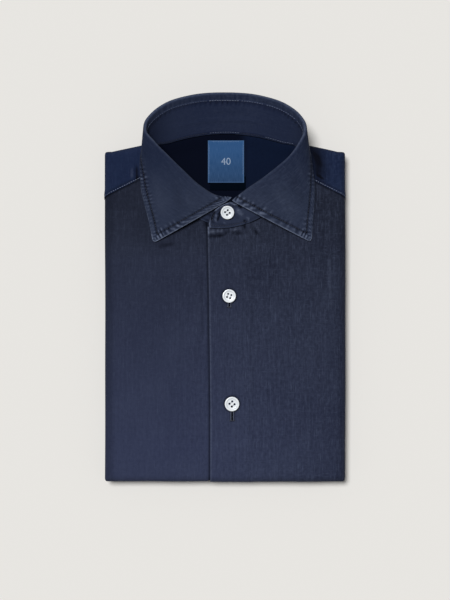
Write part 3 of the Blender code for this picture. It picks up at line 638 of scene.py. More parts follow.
STAND_OVER = table(
    ("top_x", "top_y", "top_z", "foot_x", "foot_y", "foot_z"),
    (5.6, 82.2, 29.4, 4.6, 58.3, 27.2),
    (2.0, 81.6, 29.8, 1.0, 58.0, 27.2),
    (-2.6, 79.9, 30.1, -3.0, 57.8, 27.2),
    (-7.0, 77.0, 30.2, -7.0, 57.8, 27.2),
    (-10.9, 73.2, 29.6, -10.4, 57.9, 27.2),
    (-13.6, 68.2, 28.6, -13.0, 58.1, 27.2),
    (-15.1, 62.2, 27.6, -14.8, 58.3, 27.2),
)
COLLAR_WALL = 1.6 * MM           # the solid's wall, from which the roll's axis is measured
ROLL_RADIUS, ROLL_RADIUS_FRONT = 1.35 * MM, 2.9 * MM
ROLL_SEAM_BACK, ROLL_SEAM_FRONT = 4.4 * MM, 1.6 * MM
CROWN_FRONT, CROWN_BACK = 2.0 * MM, 0.2 * MM
collar_knots = running_length(points(COLLAR, "fold"))
COLLAR_LENGTH = collar_knots[-1]
print("sections in the collar's table:", len(collar_knots))


# %% Collar sections
def from_ends(share, start, stop, ends, middle):
    """A size that changes from the collar's ends to its middle, between two shares of its length."""
    from_end = np.minimum(share, 1 - share)
    return (ends + (middle - ends) * soft_step((from_end - start) / (stop - start)))[:, None]


def collar_sections(stations):
    """The collar's roll, seam and edge at each length along its fold."""
    fold, seam, edge = (
        smooth_rows(collar_knots, points(COLLAR, name), stations) for name in ("fold", "seam", "edge")
    )
    along = unit(np.gradient(fold, stations, axis=0))
    outward = unit(np.cross(unit(fold - seam), along))
    upward = np.cross(along, outward)
    share = stations / COLLAR_LENGTH
    radius = from_ends(share, 0.0, 0.16, ROLL_RADIUS_FRONT, ROLL_RADIUS)
    drop = from_ends(share, 0.0, 0.3, ROLL_SEAM_FRONT, ROLL_SEAM_BACK)
    centre = fold - (radius + COLLAR_WALL / 2) * upward
    stand_top = centre - radius * outward
    return {
        "seam": seam, "edge": edge, "along": along, "outward": outward, "upward": upward,
        "centre": centre, "radius": radius, "stand_top": stand_top,
        "joint": stand_top - unit(stand_top - seam) * drop,
        "crown": from_ends(share, 0.14, 0.26, CROWN_FRONT, CROWN_BACK),
    }


HALF_COLLAR = 30                 # sections on each side of the middle one
coarse = collar_sections(np.linspace(0, COLLAR_LENGTH, 2 * HALF_COLLAR + 1))
print("collar fold:", round(COLLAR_LENGTH / MM), "mm long")

# %% [markdown]
# ## The right front
#
# The wearer's right front lies on the viewer's left. It runs on under the placket, up to the neck
# seam and the yoke seam, and turns round the side fold and the lower fold. The grid is as long
# and wide as the flat cut, so the weave keeps its size round the folds too.

# %% Edges of the fronts
PLACKET_EDGE = table(("y", "x"), (-200.0, -14.2), (-110.0, -14.2), (-10.0, -15.4), (60.0, -16.8))
PLACKET_EDGE_BLEND = 30 * MM     # width over which the cloth follows that fold
YOKE_SEAM_SIDE_Y, YOKE_SEAM_SLOPE = 88.2 * MM, 0.50
YOKE_STITCH = 0.9 * MM           # above that seam
FRONT_WALL = 0.7 * MM
UNDER_YOKE = 7 * MM              # the fronts run this far under the yoke
UNDER_YOKE_DROP = 0.9 * MM
NECK_SIDE_X, NECK_SIDE_Y = 74 * MM, 112 * MM     # beside and behind this a front meets the yoke
NECK_LAP = 0.8 * MM
GRID_STEP = 1.3 * MM
FOLD_STEP = 1.4 * MM


def placket_line(y):
    """The placket's fold, at each height up the front."""
    return np.interp(y, PLACKET_EDGE["y"], PLACKET_EDGE["x"])


def yoke_seam_y(x):
    return YOKE_SEAM_SIDE_Y + (HALF_WIDTH - abs(x)) * YOKE_SEAM_SLOPE


def neck_edge(end, seam):
    """Neck edge of a front, from the end of the stand to the shoulder, in order of x."""
    edge = np.vstack((end, seam))[:, :2]
    edge = edge[edge[:, 1] < NECK_SIDE_Y]
    return edge[np.argsort(edge[:, 0])]


def front_top(x, edge):
    """Where a front ends at the top: at the neck seam, or a little way under the yoke."""
    neck = np.interp(x, edge[:, 0], edge[:, 1]) + NECK_LAP
    yoke = yoke_seam_y(x) + UNDER_YOKE
    return np.where(abs(x) < NECK_SIDE_X, np.minimum(neck, yoke), yoke)


def under_yoke(x, y):
    """The front drops a little where the yoke covers it."""
    return -UNDER_YOKE_DROP * soft_step((y - yoke_seam_y(x) + 1.2 * MM) / (1.8 * MM))


def pucker(along, away, pitch, height, reach):
    """Short gathers that a tight seam pulls up beside it, at uneven spacing."""
    wander = 1.9 * np.sin(along / (7.1 * MM)) + np.sin(along / (23 * MM))
    size = 0.65 + 0.35 * np.sin(along / (11 * MM) + 1.3)
    return height * np.sin(math.tau * along / pitch + wander) * size * near(away, reach)


RIGHT_CREASES = creases(
    (-103.0, 12.0, -104.5, -34.0, 2.6, 0.30, 0.6),
    (-96.0, 44.0, -93.0, -62.0, 4.6, 0.28, -1.5),
    (-97.0, 26.5, -76.0, 27.5, 1.4, 0.14, 0.4),
    (-60.0, 36.0, -64.5, -36.0, 5.5, 0.26, 2.0),
    (-69.0, 38.5, -43.0, 43.5, 3.0, -0.62, -0.4),
    (-41.0, 28.0, -35.0, -72.0, 4.6, -0.30, -1.2),
    (-22.5, 46.0, -21.5, -78.0, 3.6, -0.42, 0.5),
    (-71.0, -66.0, -66.0, -162.0, 6.2, 0.26, 2.5),
    (-45.0, -98.0, -48.5, -171.0, 4.4, -0.22, 1.0),
    (-91.0, -88.0, -94.5, -166.0, 5.0, 0.24, -1.4),
    (-28.0, -84.0, -26.0, -150.0, 4.2, 0.18, 0.8),
    (-84.0, -20.0, -80.0, -84.0, 3.4, -0.16, 1.1),
)
print("yoke seam beside the neck:", round(float(yoke_seam_y(NECK_SIDE_X)) / MM), "mm up")

# %% Right front
FRONT_ROW_SHARE = 0.0056         # of a front's length
RIGHT_LAP_X = 20 * MM            # it ends here, under the left front
SIDE_SHADE_X, SIDE_SHADE_RUN = 104 * MM, 7 * MM      # from here out painted shade darkens the sides, round their folds
SIDE_SHADE_RIGHT, SIDE_SHADE_LEFT = 0.30, 0.12
CORNER_SHADE = (-18.2 * MM, 66.6 * MM)           # painted shade, deep in the corner of placket and stand
right_edge = neck_edge(points(STAND_UNDER, "foot"), coarse["seam"][:HALF_COLLAR])


def lay_front(x, rows, edge, marks):
    """One front's flat places with their relief and wear. x has a value for each line across."""
    line = x[:, None] + 0 * rows[None, :]
    top = front_top(x, edge)[:, None]
    share = np.clip(rows, 0, 1)[None, :]
    y = LOWER_Y + np.minimum(rows, 0)[None, :] + share * (top - LOWER_Y)
    marked = crease_relief(marks, line, y)
    at_neck = abs(line) < NECK_SIDE_X
    gathers = pucker(line, np.where(at_neck, top - y, FAR), 5.2 * MM, 0.20 * MM, 6 * MM)
    side_shade = np.where(line < 0, SIDE_SHADE_RIGHT, SIDE_SHADE_LEFT)
    # crests of creases and puckers paled by wear and painted highlight, hollows painted dark as shade
    wear_and_shading = rubbed_light_and_shade(marked + 2 * gathers)
    # painted shadow of the yoke's edge on the front
    wear_and_shading -= 0.8 * near(y - yoke_seam_y(line) + 0.7 * MM, 1.1 * MM) * ~at_neck
    # painted shade round the side folds
    wear_and_shading -= side_shade * soft_step((abs(line) - SIDE_SHADE_X) / SIDE_SHADE_RUN)
    return line, y, marked + gathers + ripple(line, y) + under_yoke(line, y), wear_and_shading


front_rows = joined(every(-FOLD_RUN, 0, FOLD_STEP), every(0, 1, FRONT_ROW_SHARE))
right_x = joined(every(-SIDE_X - FOLD_RUN, -SIDE_X, FOLD_STEP), every(-SIDE_X, RIGHT_LAP_X, GRID_STEP))
x, y, relief, wear_and_shading = lay_front(right_x, front_rows, right_edge, RIGHT_CREASES)
# painted shade in the corner of placket and stand
wear_and_shading -= 0.7 * near(x - CORNER_SHADE[0], 3.5 * MM) * near(y - CORNER_SHADE[1], 8 * MM)
# painted shadow of the placket's edge on the right front
wear_and_shading -= 0.75 * near(x - placket_line(y) + 0.6 * MM, 1.2 * MM)
grain = np.stack([x, y], axis=-1)
right_front = lay_cloth(
    "right_front_cloth", folded(x, y, relief), grain, wear_and_shading, FRONT_WALL, -1, BODY_CLOTH
)
stands_for(right_front, "right_front")

# %% [markdown]
# ## The left front and its placket
#
# The left front laps over, and its edge is a plain placket: the cloth is folded back on itself,
# with no row of stitches. Here the grid really goes round that fold. It starts at the hidden
# edge of the facing, runs to the fold, turns over in a half circle and comes back on top. Under
# the collar the stand's seam pulls up a fan of puckers.

# %% Left front
FACING_LIFT = 0.35 * MM          # outer face of the facing, which looks down
FACING_X = 19 * MM
LEFT_WALL = 0.55 * MM
LEFT_CREASES = creases(
    (1.0, 55.4, 19.0, 57.4, 1.6, 1.05, 0.2),
    (6.0, 50.6, 27.0, 54.0, 2.2, -0.56, -0.3),
    (27.0, 57.0, 37.0, 49.5, 2.2, -0.46, 0.3),
    (-21.0, 54.2, 3.0, 55.0, 2.0, 0.78, 0.3),
    (-23.0, 49.2, 6.0, 50.6, 2.6, -0.50, -0.3),
    (-10.0, 49.8, 30.0, 61.6, 2.4, -0.48, -0.8),
    (5.0, 54.0, 16.0, 59.5, 1.3, 0.30, -0.5),
    (-8.9, 59.0, -8.2, 50.5, 0.9, -0.50, 0.2),
    (0.2, 59.0, 0.8, 50.0, 0.9, -0.55, -0.2),
    (17.5, 63.0, 21.5, 52.0, 1.1, -0.44, 0.0),
    (21.0, 63.5, 25.5, 53.0, 1.1, 0.44, 0.2),
    (25.5, 62.5, 34.0, 48.0, 1.4, -0.50, 0.8),
    (28.0, 64.5, 37.0, 50.0, 1.5, 0.48, 0.8),
    (31.0, 64.0, 41.5, 50.5, 1.9, -0.34, 0.5),
    (37.0, 67.0, 47.5, 53.0, 2.1, 0.30, -0.8),
    (100.5, 54.0, 103.0, -40.0, 2.8, 0.42, 1.4),
    (94.0, 44.0, 96.0, -16.0, 2.4, -0.30, -0.8),
    (88.0, 24.0, 90.5, -62.0, 4.4, 0.26, 1.8),
    (82.0, 40.0, 83.0, -14.0, 3.0, 0.24, 1.0),
    (52.0, 30.0, 50.0, -52.0, 4.6, 0.22, -1.5),
    (38.0, 22.0, 41.0, -64.0, 3.6, 0.20, 1.2),
    (61.0, -56.0, 64.5, -152.0, 5.6, -0.24, 2.0),
    (30.0, -88.0, 28.0, -162.0, 4.4, 0.20, -0.9),
    (84.0, -98.0, 88.5, -172.0, 4.6, 0.24, 1.1),
    (73.0, -30.0, 70.0, -96.0, 3.0, 0.18, 0.9),
    (12.0, -30.0, 13.0, -84.0, 3.0, 0.14, 0.5),
)
# The placket's fittings come here, because painted shade goes round them: a dark ring round each
# button, and the dark slit of each buttonhole. A button has its place and diameter in mm and its
# turn in degrees, and a buttonhole the place where it starts in mm.
BUTTONS = {"front_button_upper": (4.0, -7.2, 12.7, 25), "front_button_lower": (6.7, -110.4, 13.8, -5)}
BUTTONHOLES = {"buttonhole_upper": (4.2, -0.8), "buttonhole_lower": (6.9, -109.4)}
HOLE_LONG = 17 * MM


def top_lift(x):
    """The placket rides on the right front, then steps down to the pack."""
    inner = soft_step((x - PLACKET_INNER_X) / PLACKET_STEP)
    return PLACKET_LIFT + (FRONT_LIFT - PLACKET_LIFT) * inner


left_edge = neck_edge(points(STAND_OVER, "foot"), coarse["seam"][HALF_COLLAR + 1:])
turn_radius = (PLACKET_LIFT - FACING_LIFT) / 2
turn = np.radians(np.arange(-78, 79, 26))
first = float(PLACKET_EDGE["x"][-1])
facing_x = every(FACING_X, first + turn_radius, GRID_STEP)
fold_x = first + turn_radius * (1 - np.cos(turn))
upper_x = joined(
    every(first + turn_radius, SIDE_X, GRID_STEP), every(SIDE_X, SIDE_X + FOLD_RUN, FOLD_STEP)
)
left_x = np.concatenate([facing_x, fold_x, upper_x])
left_lift = np.concatenate([
    np.full(len(facing_x), FACING_LIFT),
    FACING_LIFT + turn_radius * (1 + np.sin(turn)),
    top_lift(upper_x),
])
flat_x = np.concatenate([
    2 * first - math.pi * turn_radius - facing_x,
    first + turn_radius * (turn - math.pi / 2),
    upper_x,
])
x, y, relief, wear_and_shading = lay_front(left_x, front_rows, left_edge, LEFT_CREASES)
shift = placket_line(y) - first
x = x + shift * (1 - soft_step((x - first) / PLACKET_EDGE_BLEND))
on_top = [np.zeros(len(facing_x)), np.clip(np.sin(turn), 0, 1), np.ones(len(upper_x))]
on_top = np.concatenate(on_top)[:, None]
# the placket's fold is pale: worn, and a painted highlight along it
fold_wear_and_highlight = near(flat_x - first - 0.4 * MM, 1.0 * MM)[:, None]
wear_and_shading = wear_and_shading * on_top + fold_wear_and_highlight * (0.24 + 0.6 * near(y - 57 * MM, 9 * MM))
# a painted shadow ring round each button
for bx, by, diameter, _ in BUTTONS.values():
    ring = np.hypot(x - bx * MM, y - by * MM) - (diameter / 2 + 0.6) * MM
    wear_and_shading -= 0.75 * near(ring, 0.9 * MM) * on_top
# painted shade in each buttonhole's slit
for hx, top_y in BUTTONHOLES.values():
    aside, up = abs(x - hx * MM), top_y * MM - y
    slit = soft_step(up / (2 * MM)) * (1 - soft_step((up - HOLE_LONG) / (1 * MM)))
    wear_and_shading -= slit * np.exp(-((aside / (2.2 * MM)) ** 4)) * on_top
left_front = lay_cloth(
    "left_front_cloth", folded(x, y, left_lift[:, None] + relief * on_top),
    np.stack([flat_x[:, None] + 0 * y, y], axis=-1), wear_and_shading, LEFT_WALL, -1, BODY_CLOTH,
)
stands_for(left_front, "left_front")

# %% [markdown]
# ## The yoke
#
# The yoke covers both shoulders. Its front edges are turned under and stitched down on the
# fronts, which is why they stand a little proud there, and it goes on over the shoulder fold and
# under the pack. Between the shoulders only a narrow band shows, behind the collar.

# %% Yoke
YOKE_NECK_BACK = table(("x", "past"), (54.0, 11.7), (60.0, 10.0), (66.0, 6.3), (70.0, 1.6))
YOKE_NECK_FRONT = table(("x", "y"), (73.0, 127.0), (74.4, 119.0), (75.4, 108.6))
YOKE_WALL, YOKE_RISE = 0.6 * MM, 0.15 * MM
YOKE_MARKED_X, YOKE_SEAM_X = 70 * MM, 75 * MM    # outside these are its creases and its seams
YOKE_TURN_X = (54 * MM, 78 * MM) # its neck edge turns between these, on a finer grid
YOKE_CREASES = creases(
    (82.4, 142.0, 88.6, 100.0, 4.2, -0.42, -0.5),
    (88.0, 132.0, 94.5, 112.0, 3.4, -0.35, 0.0),
    (85.5, 101.6, 92.5, 102.2, 0.9, 0.70, -1.2),
    (88.0, 110.5, 95.0, 105.6, 1.1, 0.60, -0.8),
    (86.0, 110.5, 97.0, 102.5, 1.6, -0.46, -0.6),
    (94.0, 118.0, 101.5, 97.0, 2.0, 0.40, 0.8),
    (97.5, 121.0, 105.0, 104.0, 2.2, 0.38, 0.9),
    (-84.9, 124.0, -83.5, 90.0, 1.9, -0.95, 0.3),
    (-92.0, 118.0, -89.5, 101.0, 2.4, 0.16, -0.4),
    (-101.0, 122.0, -98.0, 101.0, 3.2, 0.26, 0.8),
    (-108.0, 112.0, -107.0, 96.0, 2.0, -0.18, 0.0),
    (108.0, 114.0, 107.0, 95.0, 2.4, 0.20, 0.0),
)
YOKE_SHADE = creases((79.5, 158.0, 92.5, 92.0, 8.6, 0.92, -0.8))  # painted shade in that fold
YOKE_FLAT_SHARE = 0.55           # of the rows, before they go over the shoulder fold


def yoke_start(x):
    """Flat height of the yoke's lower edge: its front seam, or its neck edge."""
    x = abs(x)
    behind = shoulder_line(YOKE_NECK_BACK["x"]) + YOKE_NECK_BACK["past"]
    across = np.concatenate((YOKE_NECK_BACK["x"], YOKE_NECK_FRONT["x"]))
    neck = np.interp(x, across, np.concatenate((behind, YOKE_NECK_FRONT["y"])))
    neck = np.where(x < across[0], shoulder_line(x) + YOKE_NECK_BACK["past"][0], neck)
    return np.where(x >= YOKE_NECK_FRONT["x"][-1], yoke_seam_y(x), neck)


def yoke_lift(x, y):
    """The turned-under edge at the front seam makes a low step, and the topstitch a channel."""
    away = (y - yoke_seam_y(x)) / math.sqrt(1 + YOKE_SEAM_SLOPE**2)
    step = 0.45 * MM * (1 - soft_step((away - 3 * MM) / (5 * MM)))
    sunk = -0.28 * MM * near(away - YOKE_STITCH, 0.6 * MM)
    on_front = abs(x) >= YOKE_NECK_FRONT["x"][-1]
    gathers = pucker(abs(x) * 1.1, away, 4.4 * MM, 0.14 * MM, 5 * MM)
    return (step + sunk + gathers) * on_front


def yoke_surface(x, y):
    """Where the yoke's outer face lies. The band behind the neck is smooth."""
    marks = (crease_relief(YOKE_CREASES, x, y) + ripple(x, y)) * (abs(x) > YOKE_MARKED_X)
    return folded(x, y, YOKE_RISE + yoke_lift(x, y) + marks)


half_x = joined(
    every(0, YOKE_TURN_X[0], 2.4 * MM),
    every(*YOKE_TURN_X, 1.2 * MM),
    every(YOKE_TURN_X[1], SIDE_X, GRID_STEP),
    every(SIDE_X, SIDE_X + FOLD_RUN, FOLD_STEP),
)
yoke_x = joined(-half_x[::-1], half_x)
yoke_rows = joined(every(0, YOKE_FLAT_SHARE, 0.025), every(YOKE_FLAT_SHARE, 1, 0.035))
start, bend = yoke_start(yoke_x)[:, None], shoulder_line(yoke_x)[:, None]
end = bend + FOLD_RUN
flat_part = start + (bend - start) * np.minimum(yoke_rows / YOKE_FLAT_SHARE, 1)[None, :]
bent_part = FOLD_RUN * np.maximum((yoke_rows - YOKE_FLAT_SHARE) / (1 - YOKE_FLAT_SHARE), 0)[None, :]
y = np.where(start >= bend, start + (end - start) * yoke_rows[None, :], flat_part + bent_part)
x = yoke_x[:, None] + 0 * y
seam_away = np.where(abs(x) > YOKE_SEAM_X, y - yoke_seam_y(x), FAR)
# crests of the yoke's creases paled by wear and painted highlight, hollows painted dark as shade
wear_and_shading = rubbed_light_and_shade(crease_relief(YOKE_CREASES, x, y) * (abs(x) > YOKE_MARKED_X))
wear_and_shading -= 0.35 * near(seam_away - 2.6 * MM, 1.1 * MM) * (1 + 0.6 * uneven(x, 1))
# painted shade in the fold beside the collar
wear_and_shading -= np.clip(crease_relief(YOKE_SHADE, x, y) / MM, 0, 1)
grain = np.stack([x, y], axis=-1)
yoke = lay_cloth("yoke_cloth", yoke_surface(x, y), grain, wear_and_shading, YOKE_WALL, -1, YOKE_CLOTH)
stands_for(yoke, "yoke")

# %% [markdown]
# ## Folded layers underneath
#
# The back, the sleeves and the tails are folded away under the fronts, and only their folds show,
# round the edge of the pack. The inside stays one solid, taken from the frame. Round it go five
# folded edges of cloth, each a strip bent into a U and laid along the rim, in and out of line as
# a hand leaves them. A stack of real layers could fill the whole pack, but nobody would see it.

# %% The inside of the pack
BODY_SHRINK = 0.985              # so that the layers' edges stand out of it
core_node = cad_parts["folded_layers"]
core = new_object("folded_inside", core_node.data.copy())
make_active(core)
bpy.ops.object.mode_set(mode="EDIT")
bpy.ops.mesh.select_all(action="SELECT")
bpy.ops.mesh.remove_doubles(threshold=0.01 * MM)
bpy.ops.transform.resize(value=(BODY_SHRINK, BODY_SHRINK, 1.0), center_override=(0, 0, 0))
bpy.ops.object.mode_set(mode="OBJECT")
bpy.ops.object.shade_smooth_by_angle(angle=math.radians(40))
corners = np.empty(len(core.data.loops), int)
core.data.loops.foreach_get("vertex_index", corners)
flat = np.array([v.co[:2] for v in core.data.vertices])
core.data.uv_layers.new(name="grain").data.foreach_set("uv", flat[corners].ravel())
core.data.materials.clear()
core.data.materials.append(LAYER_CLOTH)
stands_for(core, "folded_layers")
print("inside of the pack:", len(core.data.polygons), "faces")

# %% Folded edges round the rim
LAYER_WALL, LAYER_DEPTH = 0.5 * MM, 5 * MM
LAYER_OUT = 5 * MM               # about how far out of the rim's line they reach
RIM_STEP = 3 * MM
LAYERS = table(
    ("low", "high", "out", "wander"),
    (9.0, 11.3, 5.5, 0.55),
    (7.8, 9.0, 4.5, 0.75),
    (5.0, 7.6, 5.7, 0.50),
    (3.7, 4.9, 4.7, 0.80),
    (0.3, 3.5, 5.2, 0.60),
)
# how the layers go in and out along the rim: each wave's length, its share and where it starts
LAYER_WAVES = ((190 * MM, 0.6, 0.0), (83 * MM, 0.35, 1.1), (37 * MM, 0.15, 2.9))


def rim_path():
    """Points and headings round the pack, on the line where its folds start."""
    half = every(-SIDE_X, SIDE_X, RIM_STEP)
    top = [(v, float(shoulder_line(v)), 0, 1) for v in half[::-1]]
    foot = [(v, LOWER_Y, 0, -1) for v in half]
    side_y = every(LOWER_Y, float(shoulder_line(SIDE_X)), RIM_STEP)
    right = [(SIDE_X, v, 1, 0) for v in side_y]
    left = [(-SIDE_X, v, -1, 0) for v in side_y[::-1]]
    corners = []
    for run, (cx, cy), start in (
        (right, (SIDE_X, side_y[-1]), 0), (top, (-SIDE_X, side_y[-1]), 90),
        (left, (-SIDE_X, LOWER_Y), 180), (foot, (SIDE_X, LOWER_Y), 270),
    ):
        corners += run
        for turn in range(10, 90, 10):
            angle = math.radians(start + turn)
            size = corner_length(math.cos(angle), math.sin(angle))
            corners.append((cx, cy, math.cos(angle) / size, math.sin(angle) / size))
    return np.array(corners + corners[:1])


rim = rim_path()
rim_length = running_length(rim[:, :2] + rim[:, 2:] * LAYER_OUT)
round_rim = rim_length / rim_length[-1]
for level, (low, high, out, wander) in enumerate(zip(*LAYERS.values())):
    half_height = (high - low) / 2
    arc = np.radians(np.arange(90, -91, -20))
    profile = np.vstack([
        (-LAYER_DEPTH, half_height),
        half_height * np.column_stack([np.cos(arc) - 1, np.sin(arc)]),
        (-LAYER_DEPTH, -half_height),
    ])
    waves = sum(
        share * np.sin(math.tau * round(rim_length[-1] / long) * round_rim + 2.3 * level + start_at)
        for long, share, start_at in LAYER_WAVES
    )
    reach = out + wander * waves
    place_out = np.maximum(reach[:, None] + profile[None, :, 0], 0.8 * MM)
    flat = rim[:, None, :2] + rim[:, None, 2:] * place_out[..., None]
    height = (low + high) / 2 + profile[None, :, 1] * (1 + 0.06 * np.roll(waves, 9)[:, None])
    places = np.concatenate([flat, height[..., None] + 0 * flat[..., :1]], axis=-1)[::-1]
    grain = np.stack(np.broadcast_arrays(
        rim_length[:, None], running_length(profile)[None, :] + 0.1 * level), axis=-1)
    strip = lay_cloth(
        f"layer_fold_{level + 1}", places, grain, 0 * place_out, LAYER_WALL, -1, LAYER_CLOTH
    )
    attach(strip, "root")

# %% [markdown]
# ## The collar stand
#
# The stand is a stiff band round the neck. Behind, its inner side shows below the roll. In front
# its left end is cut round, laps over the right end and carries the button. It's stitched all
# round about 2 mm inside its edge, which presses a fine channel into it.

# %% Stand
STAND_WALL = 1.5 * MM
STAND_STITCH = 2.0 * MM
STAND_ROWS, STAND_HEIGHT = 22, 37 * MM
COLLAR_ROUNDING = 0.4 * MM       # of the edges of stand and leaf
# along the band from its middle, and up from its foot
INNER_CREASES = creases(
    (-62.0, 16.0, 58.0, 17.5, 1.6, -0.22, 2.0),
    (-20.0, 22.0, 36.0, 21.0, 2.4, 0.14, 1.0),
)
LAP_LENGTH = 44 * MM
LAP_CREASES = creases(
    (-8.6, 76.0, -14.2, 63.0, 1.2, -0.85, 0.8),
    (-10.8, 70.0, -5.6, 60.5, 1.1, 0.65, 0.0),
    (-4.6, 76.0, -7.2, 60.0, 1.0, -0.85, 0.4),
    (-7.4, 74.0, -9.4, 66.0, 0.9, 0.60, 0.2),
    (-3.0, 64.0, 3.5, 59.8, 1.2, 0.45, 0.0),
    (10.5, 76.0, 19.0, 69.0, 2.4, 0.50, 0.6),
    (12.0, 80.5, 17.0, 76.0, 1.6, -0.70, 0.4),
    (17.0, 67.5, 20.5, 60.0, 1.0, -0.40, 0.0),
    (20.5, 69.0, 24.5, 62.5, 1.1, 0.62, 0.0),
    (24.5, 71.5, 28.0, 65.5, 1.0, -0.56, 0.0),
)


def distance_to_line(places, line):
    """For each place, how far it is from a line of points and how far along the line that is."""
    flat = places.reshape(-1, 3)
    best, along = np.full(len(flat), 1e9), np.zeros(len(flat))
    lengths = running_length(line)
    for k in range(len(line) - 1):
        step = line[k + 1] - line[k]
        size = max(float(step @ step), 1e-12)
        t = np.clip((flat - line[k]) @ step / size, 0, 1)
        away = np.linalg.norm(flat - line[k] - t[:, None] * step, axis=1)
        nearer = away < best
        best = np.where(nearer, away, best)
        along = np.where(nearer, lengths[k] + t * math.sqrt(size), along)
    return best.reshape(places.shape[:2]), along.reshape(places.shape[:2])


def facing(places):
    """The way each point of a grid of places faces."""
    across, along = np.gradient(places, axis=0), np.gradient(places, axis=1)
    return unit(np.cross(across, along))


def channel(away, at, width, depth):
    """The groove that a row of stitches presses into the cloth."""
    return -depth * near(away - at, width)


stand_foot = np.vstack((points(STAND_UNDER, "foot"), coarse["seam"], points(STAND_OVER, "foot")))
stand_head = np.vstack((points(STAND_UNDER, "top"), coarse["joint"], points(STAND_OVER, "top")))
stand_knots = running_length((stand_foot + stand_head) / 2)
stand_stations = every(0, stand_knots[-1], 1.6 * MM)
stand_foot = smooth_rows(stand_knots, stand_foot, stand_stations)
stand_head = smooth_rows(stand_knots, stand_head, stand_stations)
share = np.linspace(0, 1, STAND_ROWS)[None, :, None]
stand_places = stand_foot[:, None] + (stand_head - stand_foot)[:, None] * share
foot_away, foot_along = distance_to_line(stand_places, stand_foot)
head_away, head_along = distance_to_line(stand_places, stand_head)
end_away, _ = distance_to_line(stand_places, stand_places[-1])
edge_away = np.minimum(np.minimum(foot_away, head_away), end_away)
relief = channel(edge_away, STAND_STITCH, 0.7 * MM, 0.20 * MM)
relief += pucker(head_along, head_away - STAND_STITCH, 4.6 * MM, 0.16 * MM, 3.2 * MM)
relief += pucker(foot_along, foot_away - STAND_STITCH, 4.2 * MM, 0.12 * MM, 3.0 * MM)
middle = stand_stations[-1] / 2
grain_u = stand_stations[:, None] + 0 * foot_away
relief += crease_relief(INNER_CREASES, grain_u - middle, foot_away)
lap = stand_stations > stand_stations[-1] - LAP_LENGTH
on_lap = lap[:, None]
lap_relief = crease_relief(LAP_CREASES, stand_places[..., 0], stand_places[..., 1]) * on_lap
stand_places = stand_places - facing(stand_places) * (relief + lap_relief)[..., None]
lap_edge = np.where(on_lap, np.minimum(end_away, head_away), end_away)

# rubbed ends, creases paled and painted dark in their hollows as shade, a faint pale edge and
# back, then the dark groove and ticks of painted shade by the roll
stand_wear_and_shading = 0.75 * near(lap_edge, 1.1 * MM) + rubbed_light_and_shade(1.9 * lap_relief)
stand_wear_and_shading += 0.12 * near(edge_away, 0.9 * MM) * (1 + uneven(foot_along, 2))
stand_wear_and_shading += 0.05 * near(grain_u - middle, 48 * MM)
stand_wear_and_shading -= 0.35 * near(edge_away - STAND_STITCH, 0.8 * MM)
# ticks of painted shade under the roll
stand_wear_and_shading -= 0.7 * np.clip(pucker(head_along, head_away - 3.6 * MM, 4.6 * MM, 1.0, 1.7 * MM), 0, 1)
collar_stand = lay_cloth(
    "collar_stand_cloth", stand_places, np.stack([foot_away, grain_u], axis=-1),
    stand_wear_and_shading, STAND_WALL, 0, STAND_CLOTH, rim=COLLAR_ROUNDING,
)
stands_for(collar_stand, "collar_stand")

# %% [markdown]
# ## The collar leaf
#
# The leaf grows out of the stand's top, rolls over and falls to its free edge, in two long
# points. It's two plies with their edges turned in, so a band about 6 mm wide along the edge is
# thicker, and the row of stitches beside it sinks into a channel. Washing has pulled the thread
# tight: short puckers cross the band, and its edge has rubbed pale.

# %% Leaf
LEAF_WALL = 1.2 * MM
LEAF_STITCH = 5.4 * MM
TIP_RADIUS = 3.0 * MM
LEAVE_TURN = math.radians(12)
ROLL_STEPS = 10
FALL_SHARES = joined(np.linspace(0, 0.84, 29), np.linspace(0.84, 1, 19))     # closer at the edge
RIDGE = 2 + ROLL_STEPS // 2      # the grid's row on top of the roll
LEAF_END, END_STEP, MIDDLE_STEP = 13 * MM, 0.85 * MM, 1.9 * MM
ROLL_PALER_Y, ROLL_PALER_RUN = 110 * MM, 40 * MM   # from here back the roll is paler: rubbed more, with painted highlight
LEAF_CREASES = creases(
    (-68.0, 116.0, -58.0, 66.0, 4.8, 0.34, 1.2),
    (-50.0, 108.0, -44.0, 68.0, 5.4, -0.30, -1.5),
    (-38.0, 96.0, -30.0, 72.0, 3.6, 0.26, 0.8),
    (26.0, 90.0, 50.0, 66.0, 3.8, 0.30, -0.8),
    (44.0, 104.0, 70.0, 58.0, 5.6, 0.40, 1.6),
    (60.0, 112.0, 79.0, 70.0, 4.6, -0.34, -1.0),
    (66.0, 128.0, 76.0, 98.0, 3.4, 0.26, 0.6),
)


